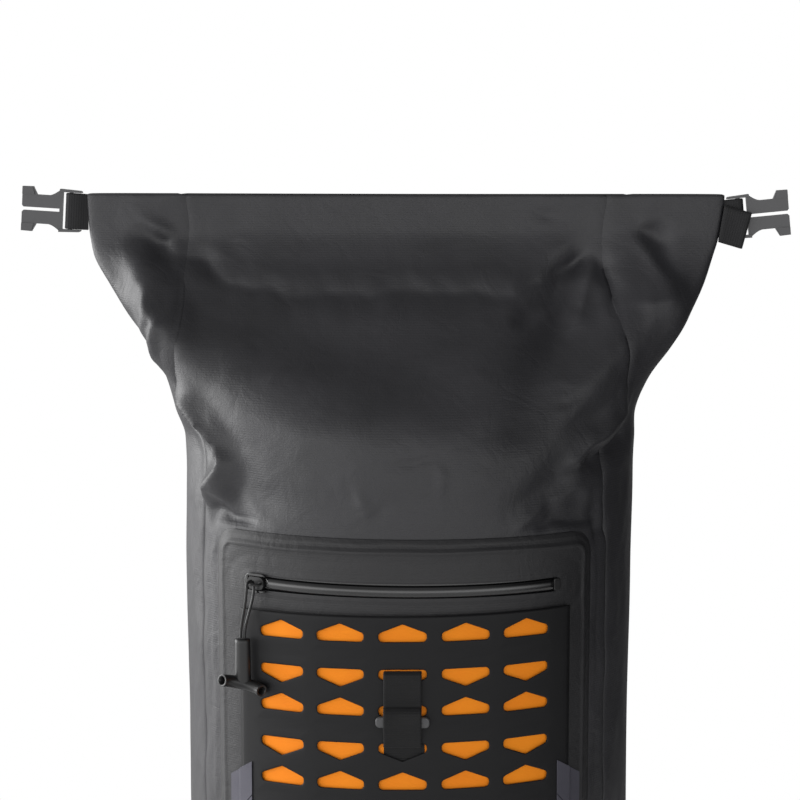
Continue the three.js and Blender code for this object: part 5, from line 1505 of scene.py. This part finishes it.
def makeBackPad():
    half, low, high = back["padWidth"] / 2 - 3, back["padBottom"] + 3, back["padTop"] - 3
    side, z = np.meshgrid(np.linspace(half, -half, 61), np.linspace(low, high, 91))
    ends, corner = np.minimum(z - low, high - z), back["padCorner"]
    over = np.maximum(0, corner - ends)
    limit = half - (corner - np.sqrt(np.maximum(corner ** 2 - over ** 2, 1)))
    side = side / half * limit
    edge = np.minimum(limit - np.abs(side), ends)
    crown = np.sqrt(np.clip(1 - (1 - np.clip(edge / 16, 0, 1)) ** 2, 0, 1))
    top = back["gap"] + 1.2 + (back["padThick"] - 4.2) * crown
    piece = sheetPiece("backPad", onBack(side, z, top), onBack(side, z, back["gap"] + 0.2), spacerMesh,
                       ["back_pad"])
    inflate(piece, 2.0, 6.0)
    # the sewn channels: two upright ones and three across
    data = piece.data
    spots = np.empty(len(data.vertices) * 3)
    data.vertices.foreach_get("co", spots)
    spots = spots.reshape(-1, 3)
    x, y, height = (spots / mm).T
    bow = channels["side"] + channels["bow"] * np.cos((height - channels["middle"]) / 166 * math.pi / 2)
    channel = np.exp(-((np.abs(x) - bow) / channels["wide"]) ** 2)
    for level in (-channels["apart"], 0, channels["apart"]):
        up = height - channels["middle"] - level - 0.0016 * x ** 2
        channel = np.maximum(channel, np.exp(-(up / channels["wide"]) ** 2))
    inside = smooth(np.minimum(105 - np.abs(x), np.minimum(height - 120, 452 - height)), 10, 26)
    spots[:, 1] -= channels["deep"] * mm * channel * inside * smooth(y, 80, 88)
    data.vertices.foreach_set("co", spots.ravel())
    data.update()


makeShoulder(-1, "Left")
makeShoulder(1, "Right")
makeBackPad()
print("pads made")


def makeGrip():
    # stem and cross bar of the zip pull, moulded in one
    bar, bend, stem, count = pull["bar"], pull["bend"], pull["stem"], 28
    angles = [2 * math.pi * i / count for i in range(count)]
    rows = [(0.25, 0.0), (0.9, 0.0), (1.0, 0.35)]
    rows += [(1 + 0.1 * share, share * stem) for share in np.linspace(0, 1, 13)[1:]]
    points = [near(gripTop, pull["stemSide"] * wide * math.cos(turn),
                   pull["stemOut"] * wide * math.sin(turn), -depth)
              for wide, depth in rows for turn in angles]
    faces = [face[::-1] for face in tubeFaces(len(rows), count)]
    # cross bar with hollow ends, bent in the plane that faces out
    tilt, reach, hollow = math.radians(pull["tilt"]), pull["reach"], math.degrees(5 / bend)
    ends = [(-hollow, 0.02), (-hollow, bar * 0.66), (-0.6, bar * 0.66 + 0.1), (0.4, bar * 0.66 + 0.5),
            (0.4, bar - 0.4)]
    path = [(-reach - past, radius) for past, radius in ends]
    path += [(degrees, bar) for degrees in np.linspace(-reach, reach, 33)]
    path += [(reach + past, radius) for past, radius in reversed(ends)]
    faces += tubeFaces(len(path), count, len(points))
    for degrees, radius in path:
        turn = math.radians(degrees)
        middle = Vector((bend * math.sin(turn), bend * (math.cos(turn) - 1), 0))
        way = Vector((math.sin(turn), math.cos(turn), 0))
        for angle in angles:
            local = middle + way * radius * math.cos(angle) + Vector((0, 0, radius * math.sin(angle)))
            points.append(near(gripTop, local.x * math.cos(tilt) + local.z * math.sin(tilt), local.y,
                               local.z * math.cos(tilt) - local.x * math.sin(tilt) - stem))
    return addPiece("pullGrip", points, faces, blackPlastic, ["pull_grip"], sharp=50)


pullGrip = makeGrip()
print("grip made")

# Floor, world and lights
studio = {"floor": 0.8, "front": 1.65, "behind": 0.8, "sky": 0.2, "under": 0.4, "right": 0.06, "left": 1.7,
          "floorGlow": 0.2, "keyPower": 26, "keySpot": (-1.6, 0.25, 0.7), "keyTarget": (0, 0, 0.45),
          "keySize": 1.3}


def makeFloor():
    mesh = bpy.data.meshes.new("floor")
    shape = bmesh.new()
    bmesh.ops.create_circle(shape, cap_ends=True, segments=96, radius=studio["floor"])
    shape.to_mesh(mesh)
    shape.free()
    floor = newObject("floor", mesh)
    material, _, shader = newMaterial("floorPaper", (0.9, 0.9, 0.9), 0.9, 0.1)
    shader.inputs["Emission Color"].default_value = (1, 1, 1, 1)
    shader.inputs["Emission Strength"].default_value = studio["floorGlow"]
    mesh.materials.append(material)
    floor.location = (0, 0, -0.0002)


def makeWorld():
    # plain white to the camera; as a light, stronger from the front and the left, dim from the right
    world = bpy.data.worlds.new("studio")
    bpy.context.scene.world = world
    world.use_nodes = True
    tree = world.node_tree
    tree.nodes.clear()
    way = put(tree, "ShaderNodeTexCoord").outputs["Generated"]
    x, y, z = put(tree, "ShaderNodeSeparateXYZ", {0: way}).outputs
    front = ramp(tree, y, -0.9, 0.9, studio["front"], studio["behind"])
    dim = calc(tree, "MULTIPLY", ramp(tree, x, 0.1, 0.65), ramp(tree, y, -0.8, -0.3))
    right = ramp(tree, dim, 0.0, 1.0, 1.0, studio["right"], "LINEAR")
    left = ramp(tree, x, -0.35, -0.85, 1.0, studio["left"])
    top = ramp(tree, z, 0.05, 0.5, 1.0, studio["sky"])
    under = ramp(tree, z, -0.3, -0.02, studio["under"], 1.0)
    total = front
    for part in (right, left, top, under):
        total = calc(tree, "MULTIPLY", total, part)
    light, plain = (put(tree, "ShaderNodeBackground",
                        {"Strength": strength, "Color": (1, 1, 1, 1)}).outputs[0]
                    for strength in (total, 1.0))
    path = put(tree, "ShaderNodeLightPath").outputs["Is Camera Ray"]
    mix = put(tree, "ShaderNodeMixShader", {0: path, 1: light, 2: plain})
    tree.links.new(mix.outputs[0], put(tree, "ShaderNodeOutputWorld").inputs["Surface"])


def makeLight():
    data = bpy.data.lights.new("keyLight", "AREA")
    data.shape = "SQUARE"
    data.size = studio["keySize"]
    data.energy = studio["keyPower"]
    light = newObject("keyLight", data)
    light.location = studio["keySpot"]
    way = Vector(studio["keyTarget"]) - Vector(studio["keySpot"])
    light.rotation_euler = way.to_track_quat("-Z", "Y").to_euler()


makeFloor()
makeWorld()
makeLight()
bpy.context.scene.view_settings.view_transform = "Standard"
print("studio made")
